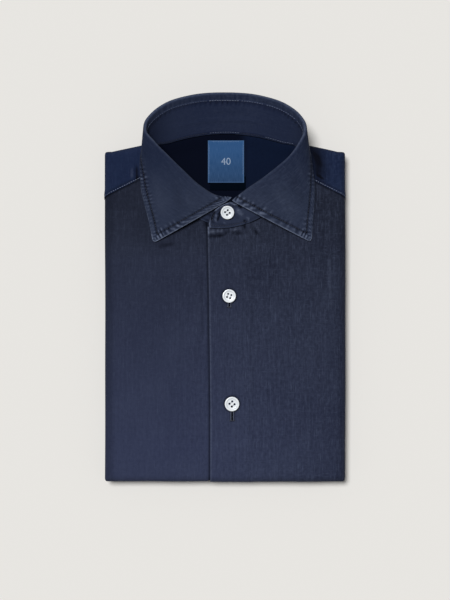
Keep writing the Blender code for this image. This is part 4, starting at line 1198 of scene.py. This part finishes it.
def leaf_grid(collar):
    """Places on the leaf: out of the stand, over the roll, then down and out to the edge."""
    out, up, along = collar["outward"], collar["upward"], collar["along"]
    centre, radius = collar["centre"], collar["radius"]
    reach = collar["edge"] - centre
    edge_out, edge_up, slide = (
        np.sum(reach * axis, axis=1, keepdims=True) for axis in (out, up, along)
    )
    turn = np.arctan2(edge_out, edge_up)
    turn = np.where(turn < math.pi / 4, math.pi, np.minimum(turn + LEAVE_TURN, math.pi))
    fall = []
    for k in range(ROLL_STEPS + 1):
        angle = turn * k / ROLL_STEPS
        fall.append((-radius * np.cos(angle), radius * np.sin(angle), 2 * k > ROLL_STEPS))
    start_out, start_up = fall[-1][:2]
    bow_out = (start_out + edge_out) / 2 + start_out / radius * collar["crown"]
    bow_up = (start_up + edge_up) / 2 + start_up / radius * collar["crown"]
    for s in FALL_SHARES[1:]:
        a, b, c = (1 - s) ** 2, 2 * s * (1 - s), s**2
        fall.append((
            a * start_out + b * bow_out + c * edge_out, a * start_up + b * bow_up + c * edge_up, True
        ))
    rows = [collar["joint"] + (collar["seam"] - collar["joint"]) * 0.05, collar["joint"]]
    for out_by, up_by, sliding in fall:
        down = (radius - up_by) / (radius - edge_up) if sliding else 0.0
        rows.append(centre + out * out_by + up * up_by + along * slide * down)
    return np.stack(rows, axis=1)


def round_tip(places, tip, along_front, along_outer):
    """Rounds a point of the leaf: what lies outside a circle in the corner moves onto it."""
    half = math.acos(float(along_front @ along_outer)) / 2
    centre = tip + unit(along_front + along_outer) * TIP_RADIUS / math.sin(half)
    reach = TIP_RADIUS / math.tan(half)
    in_corner = ((places - tip) @ along_front < reach) & ((places - tip) @ along_outer < reach)
    far = np.linalg.norm(places - centre, axis=-1)
    outside = in_corner & (far > TIP_RADIUS) & (far < 3 * TIP_RADIUS)
    pulled = centre + (places - centre) * (TIP_RADIUS / np.maximum(far, 1e-9))[..., None]
    return np.where(outside[..., None], pulled, places)


leaf_stations = joined(
    every(0, LEAF_END, END_STEP),
    every(LEAF_END, COLLAR_LENGTH - LEAF_END, MIDDLE_STEP),
    every(COLLAR_LENGTH - LEAF_END, COLLAR_LENGTH, END_STEP),
)
leaf_plain = leaf_grid(collar_sections(leaf_stations))
for end, inner in ((0, 6), (-1, -7)):
    tip = leaf_plain[end, -1].copy()
    leaf_plain = round_tip(
        leaf_plain, tip, unit(leaf_plain[end, -12] - tip), unit(leaf_plain[inner, -1] - tip)
    )
right_end, outer_edge, left_end = leaf_plain[0, RIDGE:], leaf_plain[:, -1], leaf_plain[-1, RIDGE:]
outline = np.concatenate([right_end, outer_edge[1:], left_end[::-1][1:]])
right_away, left_away, outer_away = (
    distance_to_line(leaf_plain, line)[0] for line in (right_end, left_end, outer_edge)
)
edge_away, edge_along = distance_to_line(leaf_plain, outline)
row = np.arange(leaf_plain.shape[1])[None, :]
edge_away = np.where(row > RIDGE, edge_away, FAR)
at_front = near(np.minimum(right_away, left_away), 7 * MM)
flat_x, flat_y = leaf_plain[..., 0], leaf_plain[..., 1]
behind = soft_step((flat_y - ROLL_PALER_Y) / ROLL_PALER_RUN)

band = soft_step(edge_away / (1.6 * MM)) * (1 - soft_step((edge_away - 4 * MM) / (2.0 * MM)))
puckers = pucker(edge_along, edge_away - 3.4 * MM, 3.3 * MM, 0.30 * MM, 2.4 * MM)
puckers += pucker(edge_along + 2 * MM, edge_away - 7.4 * MM, 4.1 * MM, 0.26 * MM, 2.2 * MM)
puckers *= 1 + (0.8 - 0.5 * at_front) * uneven(edge_along, 3)
marks = crease_relief(LEAF_CREASES, flat_x, flat_y) * (row > RIDGE)
relief = 0.45 * MM * band + channel(edge_away, LEAF_STITCH, 0.75 * MM, 0.45 * MM) + puckers
relief += 0.5 * ripple(flat_y * 1.3, flat_x * 1.1) * (row > RIDGE) + marks
leaf_places = leaf_plain + facing(leaf_plain) * relief[..., None]
section_length = np.cumsum(
    np.linalg.norm(np.diff(leaf_plain, axis=1, prepend=leaf_plain[:, :1]), axis=2), axis=1
)

# rubbed edge, roll paled by wear and painted highlight, pale band, dark groove, then puckers
# and creases painted light on their crests and dark in their hollows, and ticks on the roll
leaf_wear_and_shading = (0.22 + 0.75 * at_front + 0.25 * uneven(edge_along, 4)) * near(edge_away, 1.0 * MM)
# the roll's top: wear with a painted highlight
leaf_wear_and_shading += 0.28 * near(row - RIDGE, 2.2) * (0.5 + 0.5 * behind)
paler = 0.07 + 0.04 * at_front + 0.10 * uneven(edge_along, 5)
leaf_wear_and_shading += paler * near(edge_away - 2.8 * MM, 1.4 * MM)
darker = 1.05 - 0.2 * at_front + 0.2 * uneven(edge_along, 6)
leaf_wear_and_shading -= darker * near(edge_away - LEAF_STITCH, 0.9 * MM)
# puckers and creases: painted light on crests, painted shade in hollows
leaf_wear_and_shading += (1.6 + 1.3 * at_front) * puckers / MM
leaf_wear_and_shading += np.where(marks > 0, 0.14, 0.40) * marks / MM
ticks = (0.09 + 0.10 * uneven(leaf_stations, 7)) * pucker(leaf_stations, 0, 2.9 * MM, 1, 1)
near_stand = np.clip(1 - row / RIDGE, 0, 1)
leaf_wear_and_shading += behind * (row < RIDGE + 2) * (0.05 + ticks[:, None] * near_stand)
leaf_grain = np.stack([section_length, leaf_stations[:, None] + 0 * edge_away], axis=-1)
collar_leaf = lay_cloth(
    "collar_leaf_cloth", leaf_places, leaf_grain, leaf_wear_and_shading, LEAF_WALL, 0, LEAF_CLOTH,
    rim=COLLAR_ROUNDING,
)
stands_for(collar_leaf, "collar_leaf")
print("leaf:", round(surface_area(leaf_places) * 1e4), "square centimetres")

# %% [markdown]
# ## Inside the neck
#
# Through the neck opening shows the inner side of the yoke, almost black in its shade. It carries
# a satin label and, under the label's lower end, a small plain dark tab. The label is woven, so
# its border is a ridge of thread, and only a size number stands on it.

# %% Yoke lining
LINING_Z, LINING_FRONT_HALF, LINING_FRONT_Y = 14.3 * MM, 17.0 * MM, 66.0 * MM
LINING_WALL, LINING_GAP = 0.7 * MM, 0.9 * MM     # the gap is to the neck seam
LINING_BACK_Y, LINING_TOP_Z = 130 * MM, 21.8 * MM
LINING_RISE = 16 * MM            # it climbs to the seam over this run
LINING_GRID = (90, 60)
SHADED_X, SHADED_RUN = 12 * MM, 12 * MM          # left of this painted shade darkens it
LINING_CREASES = creases(
    (-58.0, 128.0, -36.0, 92.0, 4.0, -0.50, 2.0),
    (-30.0, 136.0, -22.0, 84.0, 3.4, 0.45, -1.5),
    (26.0, 136.0, 30.0, 88.0, 3.8, 0.45, 2.0),
    (58.0, 130.0, 38.0, 92.0, 4.0, -0.40, -2.0),
    (-12.0, 92.0, 12.0, 90.0, 2.4, 0.30, 0.5),
)
lining_edge = coarse["seam"][coarse["seam"][:, 1] > LINING_BACK_Y]
inward = np.array((0.0, LINING_FRONT_Y, 0.0)) - lining_edge
inward[:, 2] = 0
lining_edge = lining_edge + unit(inward) * LINING_GAP
lining_edge[:, 2] = np.minimum(lining_edge[:, 2] - LINING_GAP, LINING_TOP_Z)


def lining_z(x, y):
    """Height of the lining: flat in front, and climbing to the neck seam at the back."""
    back_y = np.interp(x, lining_edge[:, 0], lining_edge[:, 1])
    back_z = np.interp(x, lining_edge[:, 0], lining_edge[:, 2])
    rise = LINING_Z + (back_z - LINING_Z) * soft_step((y - back_y + LINING_RISE) / LINING_RISE)
    return rise + crease_relief(LINING_CREASES, x, y)


column, row = np.meshgrid(
    np.linspace(-1, 1, LINING_GRID[0]), np.linspace(0, 1, LINING_GRID[1]), indexing="ij"
)
shares = np.linspace(-1, 1, len(lining_edge))
x = column * LINING_FRONT_HALF * (1 - row) + np.interp(column, shares, lining_edge[:, 0]) * row
y = LINING_FRONT_Y + (np.interp(column, shares, lining_edge[:, 1]) - LINING_FRONT_Y) * row
lining_places = np.stack([x, y, lining_z(x, y)], axis=-1)
# painted shade on the left side of the neck's inside
wear_and_shading = -0.85 * (1 - soft_step((x - SHADED_X) / SHADED_RUN))
grain = np.stack([x, y], axis=-1)
yoke_lining = lay_cloth(
    "yoke_lining_cloth", lining_places, grain, wear_and_shading, LINING_WALL, -1, LINING_CLOTH
)
stands_for(yoke_lining, "yoke_lining")

# %% Satin and thread
def satin(name, colour, light, low, roughness):
    """Woven satin with its fine floating threads. It fades to another colour at its lower end."""
    made, tree, shader = shader_tree(name, roughness)
    grain = add(tree, "UVMap", uv_map="grain")
    threads = noise(tree, scaled(tree, grain, (3200, 160, 1)))
    height = add(tree, "SeparateXYZ", grain).node.outputs["Y"]
    tone = mixed(tree, ramp(tree, height, *reversed(LABEL_Y)), colour, low)
    tone = mixed(tree, ramp(tree, threads, 0.35, 0.7, 0.0, 0.3), tone, light)
    edge = add(tree, "Attribute", attribute_name="wear_and_shading").node.outputs["Fac"]
    tree.links.new(mixed(tree, edge, tone, light), shader.inputs["Base Color"])
    raise_by(tree, shader, threads, 0.4, 0.05 * MM)
    set_inputs(shader, {"Specular IOR Level": 0.0})
    return made


LABEL_Y = (102.0 * MM, 142.4 * MM)
BLACK = (0.0010, 0.0028, 0.0060, 1)
LABEL_SATIN = satin(
    "label_satin", (0.027, 0.089, 0.228, 1), (0.080, 0.160, 0.320, 1), (0.018, 0.046, 0.110, 1), 0.6
)
TAB_SATIN = satin("tab_satin", BLACK, (0.003, 0.006, 0.012, 1), BLACK, 0.8)


def thread(name, colour):
    """Twisted cotton: a soft matt sheen and a slight change of tone along it."""
    made, tree, shader = shader_tree(name, 0.7)
    place = tree.nodes.new("ShaderNodeTexCoord").outputs["Object"]
    twist = noise(tree, place, 900.0)
    dark = tuple(0.6 * v for v in colour[:3]) + (1,)
    tree.links.new(mixed(tree, ramp(tree, twist, 0.3, 0.7), dark, colour), shader.inputs["Base Color"])
    raise_by(tree, shader, twist, 0.5, 0.06 * MM)
    set_inputs(shader, {"Sheen Weight": 0.2})
    return made


PALE_THREAD = thread("thread_pale", (0.280, 0.320, 0.430, 1))
BLUE_THREAD = thread("thread_blue", (0.170, 0.210, 0.330, 1))
MID_THREAD = thread("thread_mid", (0.080, 0.105, 0.180, 1))
DEEP_THREAD = thread("thread_deep", (0.014, 0.020, 0.042, 1))
DARK_THREAD = thread("thread_dark", (0.012, 0.016, 0.034, 1))
WHITE_THREAD = thread("thread_white", (0.62, 0.64, 0.68, 1))
LABEL_THREAD = thread("thread_label", (0.30, 0.40, 0.56, 1))
print("satin and thread finishes ready")

# %% Label and tab
LABEL_X = (-16.4 * MM, 18.3 * MM)
TAB_X, TAB_Y = (-14.4 * MM, 19.8 * MM), (94.9 * MM, 108.2 * MM)
TRIM_WALL, TRIM_STEP = 0.5 * MM, 0.8 * MM
LABEL_RISE, TAB_RISE = 1.0 * MM, 0.9 * MM        # their outer faces over the lining
ON_TAB_Y, ON_TAB_RUN = 107 * MM, 7 * MM          # the label climbs onto the tab over this run


def belly(x, reach_x):
    """A laid piece is a little rounded across."""
    return 0.30 * MM * np.sin(math.pi * (x - reach_x[0]) / np.ptp(reach_x))


def tab_surface(x, y):
    """Where the tab lies on the lining."""
    return np.stack([x, y, lining_z(x, y) + TAB_RISE + belly(x, TAB_X)], axis=-1)


def label_surface(x, y):
    """Where the label lies: on the lining, and on the tab at its lower end."""
    on_tab = TAB_RISE * (1 - soft_step((y - ON_TAB_Y) / ON_TAB_RUN))
    return np.stack([x, y, lining_z(x, y) + LABEL_RISE + on_tab + belly(x, LABEL_X)], axis=-1)


def lay_trim(name, reach_x, reach_y, surface, finish, border):
    """A small flat piece laid on the lining, its corners curled up a little."""
    x, y = np.meshgrid(every(*reach_x, TRIM_STEP), every(*reach_y, TRIM_STEP), indexing="ij")
    side_away = np.minimum(x - reach_x[0], reach_x[1] - x)
    end_away = np.minimum(y - reach_y[0], reach_y[1] - y)
    places = surface(x, y)
    places[..., 2] += 0.35 * MM * np.exp(-((side_away + end_away) / (5 * MM)))
    edge = border * near(np.minimum(side_away, end_away + 0.4 * MM), 0.9 * MM)
    piece = lay_cloth(name, places, np.stack([x, y], axis=-1), edge, TRIM_WALL, -1, finish)
    return piece


tab = lay_trim("neck_tab_cloth", TAB_X, TAB_Y, tab_surface, TAB_SATIN, 0.0)
stands_for(tab, "neck_tab")
label = lay_trim("neck_label_cloth", LABEL_X, LABEL_Y, label_surface, LABEL_SATIN, 0.8)
stands_for(label, "neck_label")

# %% Size number on the label
NUMBER_SIZE = 9.5 * MM
NUMBER_RISE = 0.12 * MM
bpy.ops.object.text_add()
number = bpy.context.object
number.name = "label_size_number"
number.data.body = "40"
number.data.align_x, number.data.align_y = "CENTER", "CENTER"
number.data.size = NUMBER_SIZE
number.data.extrude = NUMBER_RISE
make_active(number)
bpy.ops.object.convert(target="MESH")
number = bpy.context.object
flat = np.array([v.co for v in number.data.vertices])
flat[:, :2] += (sum(LABEL_X) / 2, sum(LABEL_Y) / 2)
flat[:, 2] += label_surface(flat[:, 0], flat[:, 1])[:, 2]
number.data.vertices.foreach_set("co", flat.ravel())
number.data.materials.clear()
number.data.materials.append(LABEL_THREAD)
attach(number, "root")
print("number on the label:", len(number.data.polygons), "faces")

# %% [markdown]
# ## Stitches
#
# A lockstitch seam shows as a row of short raised threads, each a little sunk in the cloth at
# its ends. One stitch is modelled from a small sphere, stretched and flattened, and then copied
# along each seam. A dashed picture of a line would look the same from above, but not from the
# side or up close.

# %% One stitch
STITCH_LONG, STITCH_WIDE, STITCH_GAP = 1.9 * MM, 0.42 * MM, 0.5 * MM


def bit_of_thread(segments, rings, size):
    """A small sphere, stretched into a mesh that lies along X."""
    deselect()
    bpy.ops.mesh.primitive_uv_sphere_add(segments=segments, ring_count=rings, radius=1)
    bit = bpy.context.object
    bpy.ops.object.mode_set(mode="EDIT")
    bpy.ops.mesh.select_all(action="SELECT")
    bpy.ops.transform.rotate(value=math.pi / 2, orient_axis="Y", center_override=(0, 0, 0))
    bpy.ops.transform.resize(value=size, center_override=(0, 0, 0))
    bpy.ops.object.mode_set(mode="OBJECT")
    mesh = bit.data
    bpy.data.objects.remove(bit)
    return mesh


stitch = bit_of_thread(6, 5, (STITCH_LONG / 2, STITCH_WIDE / 2, STITCH_WIDE * 0.4))
stitch_points = np.array([v.co for v in stitch.vertices])
stitch_faces = [list(face.vertices) for face in stitch.polygons]
print("a stitch has", len(stitch_faces), "faces")


# %% Sewing
def at_lengths(line, lengths, at):
    """The points of a line at these lengths along it."""
    return np.stack([np.interp(at, lengths, line[:, k]) for k in range(3)], axis=1)


def sew(name, line, ways, finish, step=STITCH_LONG + STITCH_GAP, long=1.0, wide=1.0, sink=0.25):
    """Copies of the stitch along a line on the cloth, each turned to follow it.

    ways has the way that the cloth faces at each point of the line.
    """
    lengths = running_length(line)
    at = np.arange(step / 2, lengths[-1], step)
    up = unit(at_lengths(ways, lengths, at))
    nudge = 0.4 * MM
    forward = unit(at_lengths(line, lengths, at + nudge) - at_lengths(line, lengths, at - nudge))
    side = unit(np.cross(up, forward))
    up = np.cross(forward, side)
    place = at_lengths(line, lengths, at) + up * STITCH_WIDE * (0.4 - sink)
    shape = stitch_points * (long, wide, wide)
    all_points = (
        place[:, None] + forward[:, None] * shape[None, :, :1]
        + side[:, None] * shape[None, :, 1:2] + up[:, None] * shape[None, :, 2:]
    )
    mesh = bpy.data.meshes.new(name)
    firsts = [n * len(stitch_points) for n in range(len(at))]
    faces = [[first_point + v for v in face] for first_point in firsts for face in stitch_faces]
    mesh.from_pydata(all_points.reshape(-1, 3), [], faces)
    mesh.shade_smooth()
    mesh.materials.append(finish)
    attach(new_object(name, mesh), "root")
    print(name, len(at), "stitches")


# %% [markdown]
# ## Seams of the collar
#
# The collar's topstitch runs 5.4 mm inside the front and outer edges of the leaf. The stand has a
# row all round, which shows on its lapped end and, behind, on its inner side: one row just under
# the roll and one above the neck seam. Some lengths of these catch more light than others, so
# they're sewn in runs with paler and darker thread.

# %% Collar seams
def seam_line(places, ways, away, wanted, lines, across=False, backwards=False):
    """Where each chosen line of a grid, read from an edge inwards, first lies that far in.

    Across reads the grid's other lines, and backwards reads them from their far ends.
    """
    if across:
        places, ways, away = places.transpose(1, 0, 2), ways.transpose(1, 0, 2), away.T
    if backwards:
        places, ways, away = places[:, ::-1], ways[:, ::-1], away[:, ::-1]
    found, facings = [], []
    for line in lines:
        inside = np.where(away[line] >= wanted)[0]
        if len(inside) == 0 or inside[0] == 0:
            continue
        k = inside[0]
        a, b = away[line][k - 1], away[line][k]
        t = (wanted - a) / max(b - a, 1e-9)
        found.append(places[line][k - 1] * (1 - t) + places[line][k] * t)
        facings.append(ways[line][k - 1] * (1 - t) + ways[line][k] * t)
    return np.array(found), np.array(facings)


def clear_of(run, wanted, *edges):
    """The part of a run of stitches that keeps this distance from other edges."""
    line, ways = run
    keep = np.min([distance_to_line(line[:, None], edge)[0][:, 0] for edge in edges], axis=0) >= wanted
    return line[keep], ways[keep]


def sew_round(name, *runs):
    """One row of stitches along three runs, of which the last is read backwards."""
    line, ways = (np.concatenate([a, b, c[::-1]]) for a, b, c in zip(*runs))
    sew(name, line, ways, DEEP_THREAD)


leaf_ways = facing(leaf_places)
leaf_face = leaf_places + leaf_ways * LEAF_WALL / 2
below_roll = range(RIDGE + 3, leaf_face.shape[1])
right_run = seam_line(leaf_face, leaf_ways, right_away, LEAF_STITCH, below_roll, across=True)
left_run = seam_line(
    leaf_face, leaf_ways, left_away, LEAF_STITCH, below_roll, across=True, backwards=True
)
outer_run = seam_line(
    leaf_face, leaf_ways, outer_away, LEAF_STITCH, range(len(leaf_face)), backwards=True
)
sew_round(
    "stitches_collar_leaf",
    clear_of(right_run, LEAF_STITCH, outer_edge),
    clear_of(outer_run, LEAF_STITCH, right_end, left_end),
    clear_of(left_run, LEAF_STITCH, outer_edge),
)

# %% Stand seams
FOOT_ROW, TOP_ROW = 0.05, 0.975  # shares of the stand's height
STAND_RUNS = table(
    ("start", "end"), (-200.0, -16.0), (-16.0, 15.0), (15.0, 38.0), (38.0, 70.0), (70.0, 200.0)
)
FOOT_THREADS = (DEEP_THREAD, BLUE_THREAD, DEEP_THREAD, BLUE_THREAD, DEEP_THREAD)
TOP_THREADS = (MID_THREAD, PALE_THREAD, BLUE_THREAD, BLUE_THREAD, MID_THREAD)
stand_ways = facing(stand_places)
stand_outer = stand_places - stand_ways * STAND_WALL / 2
stand_inner = stand_places + stand_ways * STAND_WALL / 2


def along_stand(grid, share):
    """A line along the stand at a share of its height, read between the grid's rows."""
    at = share * (STAND_ROWS - 1)
    k, t = int(at), at - int(at)
    return grid[:, k] * (1 - t) + grid[:, k + 1] * t


inside_ends = slice(12, -16)     # sections of the grid, clear of both ends of the stand
past_middle = (stand_stations - middle)[inside_ends]
for name, share, finishes in (("foot", FOOT_ROW, FOOT_THREADS), ("top", TOP_ROW, TOP_THREADS)):
    line, ways = (along_stand(grid, share)[inside_ends] for grid in (stand_inner, stand_ways))
    for run, (begin, stop, finish) in enumerate(zip(*STAND_RUNS.values(), finishes)):
        chosen = (past_middle >= begin) & (past_middle <= stop)
        sew(f"stitches_stand_{name}_inside_{run + 1}", line[chosen], ways[chosen], finish)

lap_face, lap_ways = stand_outer[lap], -stand_ways[lap]
sections = range(len(lap_face))
foot_run = seam_line(lap_face, lap_ways, foot_away[lap], STAND_STITCH, sections)
head_run = seam_line(lap_face, lap_ways, head_away[lap], STAND_STITCH, sections, backwards=True)
end_run = seam_line(
    lap_face, lap_ways, end_away[lap], STAND_STITCH, range(STAND_ROWS), across=True, backwards=True
)
sew_round(
    "stitches_stand_lap",
    clear_of(foot_run, STAND_STITCH, stand_outer[-1]),
    clear_of(end_run, STAND_STITCH, stand_outer[:, 0], stand_outer[:, -1]),
    clear_of(head_run, STAND_STITCH, stand_outer[-1]),
)

# %% [markdown]
# ## Seams of the body and the label
#
# The yoke is stitched down on each front just above its turned edge. The label is held by a row
# of fine stitches along its top and sides.


# %% Yoke and label seams
YOKE_STITCH_X = (76 * MM, SIDE_X + 10 * MM)
LABEL_INSET, LABEL_SEWN_FROM = 1.0 * MM, 8 * MM  # from its edges, and from its lower end


def facings_of(place_at, line_x, line_y):
    """The way a laid surface faces at flat points."""
    nudge = 0.3 * MM
    across = place_at(line_x + nudge, line_y) - place_at(line_x - nudge, line_y)
    along = place_at(line_x, line_y + nudge) - place_at(line_x, line_y - nudge)
    return unit(np.cross(across, along))


def sew_on(name, surface, line_x, line_y, finish, **stitch_settings):
    """A row of stitches along a flat line, laid on a surface."""
    ways = facings_of(surface, line_x, line_y)
    sew(name, surface(line_x, line_y), ways, finish, **stitch_settings)


for side, sign in (("right", -1), ("left", 1)):
    line_x = sign * every(*YOKE_STITCH_X, 1 * MM)
    line_y = yoke_seam_y(line_x) + YOKE_STITCH * math.sqrt(1 + YOKE_SEAM_SLOPE**2)
    sew_on(f"stitches_yoke_{side}", yoke_surface, line_x, line_y, PALE_THREAD)

left_x, right_x = LABEL_X[0] + LABEL_INSET, LABEL_X[1] - LABEL_INSET
top_y = LABEL_Y[1] - LABEL_INSET
up_y = every(LABEL_Y[0] + LABEL_SEWN_FROM, top_y, 1 * MM)
top_x = every(left_x, right_x, 1 * MM)[1:-1]
line_x = np.concatenate([0 * up_y + left_x, top_x, 0 * up_y + right_x])
line_y = np.concatenate([up_y, 0 * top_x + top_y, up_y[::-1]])
sew_on(
    "stitches_label", label_surface, line_x, line_y, LABEL_THREAD, step=1.6 * MM, long=0.6, wide=0.6
)

# %% [markdown]
# ## Buttons
#
# Each button is a disc with a raised rim, a shallow well and four holes, cut from pale shell. One
# is shaped from a cylinder: the top is inset twice to make the rim and the well, a bevel rounds
# every edge, and four pins are cut away. The others are copies with their own mesh.

# %% Shell finish
pearl, tree, shader = shader_tree("shell", 0.24)
place = tree.nodes.new("ShaderNodeTexCoord").outputs["Object"]
swirl = noise(tree, place, 240.0, 4.0)
tone = mixed(tree, ramp(tree, swirl, 0.3, 0.7), (0.72, 0.77, 0.82, 1), (0.86, 0.89, 0.92, 1))
tree.links.new(tone, shader.inputs["Base Color"])
set_inputs(shader, {"Coat Weight": 0.4, "Coat Roughness": 0.12})
print("shell finish ready")

# %% One button
BUTTON_RADIUS, BUTTON_HEIGHT = 6.35 * MM, 2.6 * MM
RIM_WIDE, SLOPE_WIDE, WELL_DEEP = 1.3 * MM, 0.8 * MM, 0.8 * MM
BACK_RIM, BACK_STEP, BUTTON_ROUNDING = 1.4 * MM, 0.3 * MM, 0.42 * MM
PIN_RADIUS, PIN_LONG, PIN_CIRCLE = 0.98 * MM, 4 * MM, 2.25 * MM


def select_faces(piece, wanted):
    """In edit mode, selects the faces that wanted(face) picks."""
    shape = bmesh.from_edit_mesh(piece.data)
    for face in shape.faces:
        face.select = wanted(face)
    shape.select_flush_mode()
    bmesh.update_edit_mesh(piece.data)


deselect()
bpy.ops.mesh.primitive_cylinder_add(
    vertices=56, radius=BUTTON_RADIUS, depth=BUTTON_HEIGHT, location=(0, 0, BUTTON_HEIGHT / 2)
)
button = bpy.context.object
button.name = "button_pattern"
bpy.ops.object.transform_apply(location=True)
bpy.ops.object.mode_set(mode="EDIT")
bpy.ops.mesh.select_mode(type="FACE")
select_faces(button, lambda face: face.normal.z > 0.9)
bpy.ops.mesh.inset(thickness=RIM_WIDE, depth=0)
bpy.ops.mesh.inset(thickness=SLOPE_WIDE, depth=-WELL_DEEP)
select_faces(button, lambda face: face.normal.z < -0.9)
bpy.ops.mesh.inset(thickness=BACK_RIM, depth=0)
bpy.ops.mesh.inset(thickness=BACK_STEP, depth=-BACK_STEP)
bpy.ops.object.mode_set(mode="OBJECT")
apply_modifier(button, "BEVEL", width=BUTTON_ROUNDING, segments=3, angle_limit=math.radians(30))

pins = []
for n in range(4):
    angle = n * math.tau / 4
    at = (PIN_CIRCLE * math.cos(angle), PIN_CIRCLE * math.sin(angle), BUTTON_HEIGHT / 2)
    deselect()
    bpy.ops.mesh.primitive_cylinder_add(vertices=20, radius=PIN_RADIUS, depth=PIN_LONG, location=at)
    pins.append(bpy.context.object)
for pin in pins:
    apply_modifier(button, "BOOLEAN", object=pin, operation="DIFFERENCE")
    bpy.data.objects.remove(pin)
make_active(button)
bpy.ops.object.shade_smooth_by_angle(angle=math.radians(40))
button.data.materials.append(pearl)
print("a button has", len(button.data.polygons), "faces")

# %% Button threads
THREAD_SIZE = (0.85 * MM, 0.22 * MM, 0.45 * MM)
THREAD_Z = BUTTON_HEIGHT - WELL_DEEP + 0.05 * MM
PAIR_AWAY, THREAD_AWAY = 1.55 * MM, 0.28 * MM    # from the button's middle, and from the pair's
BUTTON_GAP = 0.4 * MM            # from the cloth to the button
COLLAR_BUTTON = (2.3, 72.6, 12.7, -9)            # place and diameter in mm, turn in degrees
strand = bit_of_thread(10, 8, THREAD_SIZE)
strand.shade_smooth()


def place_button(node, foot, tilt, diameter, spin):
    """A copy of the button with its threads, set on the cloth and turned as it was sewn."""
    size = diameter / (2 * BUTTON_RADIUS)
    seat = Matrix.Translation(foot) @ Matrix.Rotation(tilt, 4, "X")
    seat = seat @ Matrix.Rotation(math.radians(spin), 4, "Z") @ Matrix.Diagonal((size, size, 1, 1))
    disc = new_object(node + "_shell", button.data.copy())
    disc.data.transform(seat)
    stands_for(disc, node)
    threads = bmesh.new()
    turned = seat @ Matrix.Rotation(math.pi / 4, 4, "Z")
    for pair in (-PAIR_AWAY, PAIR_AWAY):
        for one in (-THREAD_AWAY, THREAD_AWAY):
            fresh = strand.copy()
            fresh.transform(turned @ Matrix.Translation((0, pair + one, THREAD_Z)))
            threads.from_mesh(fresh)
            bpy.data.meshes.remove(fresh)
    mesh = bpy.data.meshes.new(node + "_thread")
    threads.to_mesh(mesh)
    threads.free()
    mesh.shade_smooth()
    mesh.materials.append(WHITE_THREAD)
    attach(new_object(node + "_thread", mesh), "root")


for node, (x, y, diameter, spin) in BUTTONS.items():
    foot = folded(x * MM, y * MM, float(top_lift(x * MM)) + BUTTON_GAP)
    place_button(node, foot, 0.0, diameter * MM, spin)

x, y, diameter, spin = COLLAR_BUTTON
nearest = int(np.argmin(abs(STAND_OVER["foot_x"] - x * MM)))
foot, head = points(STAND_OVER, "foot")[nearest], points(STAND_OVER, "top")[nearest]
slope = math.atan2(head[2] - foot[2], head[1] - foot[1])
on_band = foot[2] + (y * MM - foot[1]) * math.tan(slope)
z = on_band + (COLLAR_WALL / 2 + BUTTON_GAP) / math.cos(slope)
place_button("collar_button", (x * MM, y * MM, z), slope, diameter * MM, spin)
bpy.data.objects.remove(button)
print("three buttons sewn on")

# %% [markdown]
# ## Buttonholes
#
# Under each front button is an upright slit, edged on both sides with close stitches and ended
# with a bar. The button hides most of it, so only its lower end shows.

# %% Buttonholes
HOLE_WIDE, HOLE_STEP = 2.6 * MM, 0.42 * MM
CLOSE_BARS = {"step": HOLE_STEP, "long": 0.24, "wide": 2.6, "sink": 0.1}


def left_surface(x, y):
    """Where the outer face of the left front lies."""
    return folded(x, y, top_lift(x) + crease_relief(LEFT_CREASES, x, y) + ripple(x, y))


def buttonhole(name, x, top_y):
    """Close bars of thread up both sides of the slit, and over its lower end."""
    up_y = every(top_y - HOLE_LONG, top_y, HOLE_STEP)
    for side, sign in (("left", -1), ("right", 1)):
        line_x = x + sign * HOLE_WIDE / 2 + 0 * up_y
        sew_on(f"{name}_{side}", left_surface, line_x, up_y, MID_THREAD, **CLOSE_BARS)
    line_x = every(x - HOLE_WIDE, x + HOLE_WIDE, HOLE_STEP)
    line_y = 0 * line_x + top_y - HOLE_LONG
    sew_on(f"{name}_bar", left_surface, line_x, line_y, DARK_THREAD, **CLOSE_BARS)


for name, (x, top_y) in BUTTONHOLES.items():
    buttonhole(name, x * MM, top_y * MM)

# %% [markdown]
# ## Finish
#
# The finished pieces should reach about as far as the solids do, so their box is printed.

# %% Sizes of the finished pieces
low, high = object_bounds()
print("visual:", [round(v / MM, 1) for v in high - low], "mm")
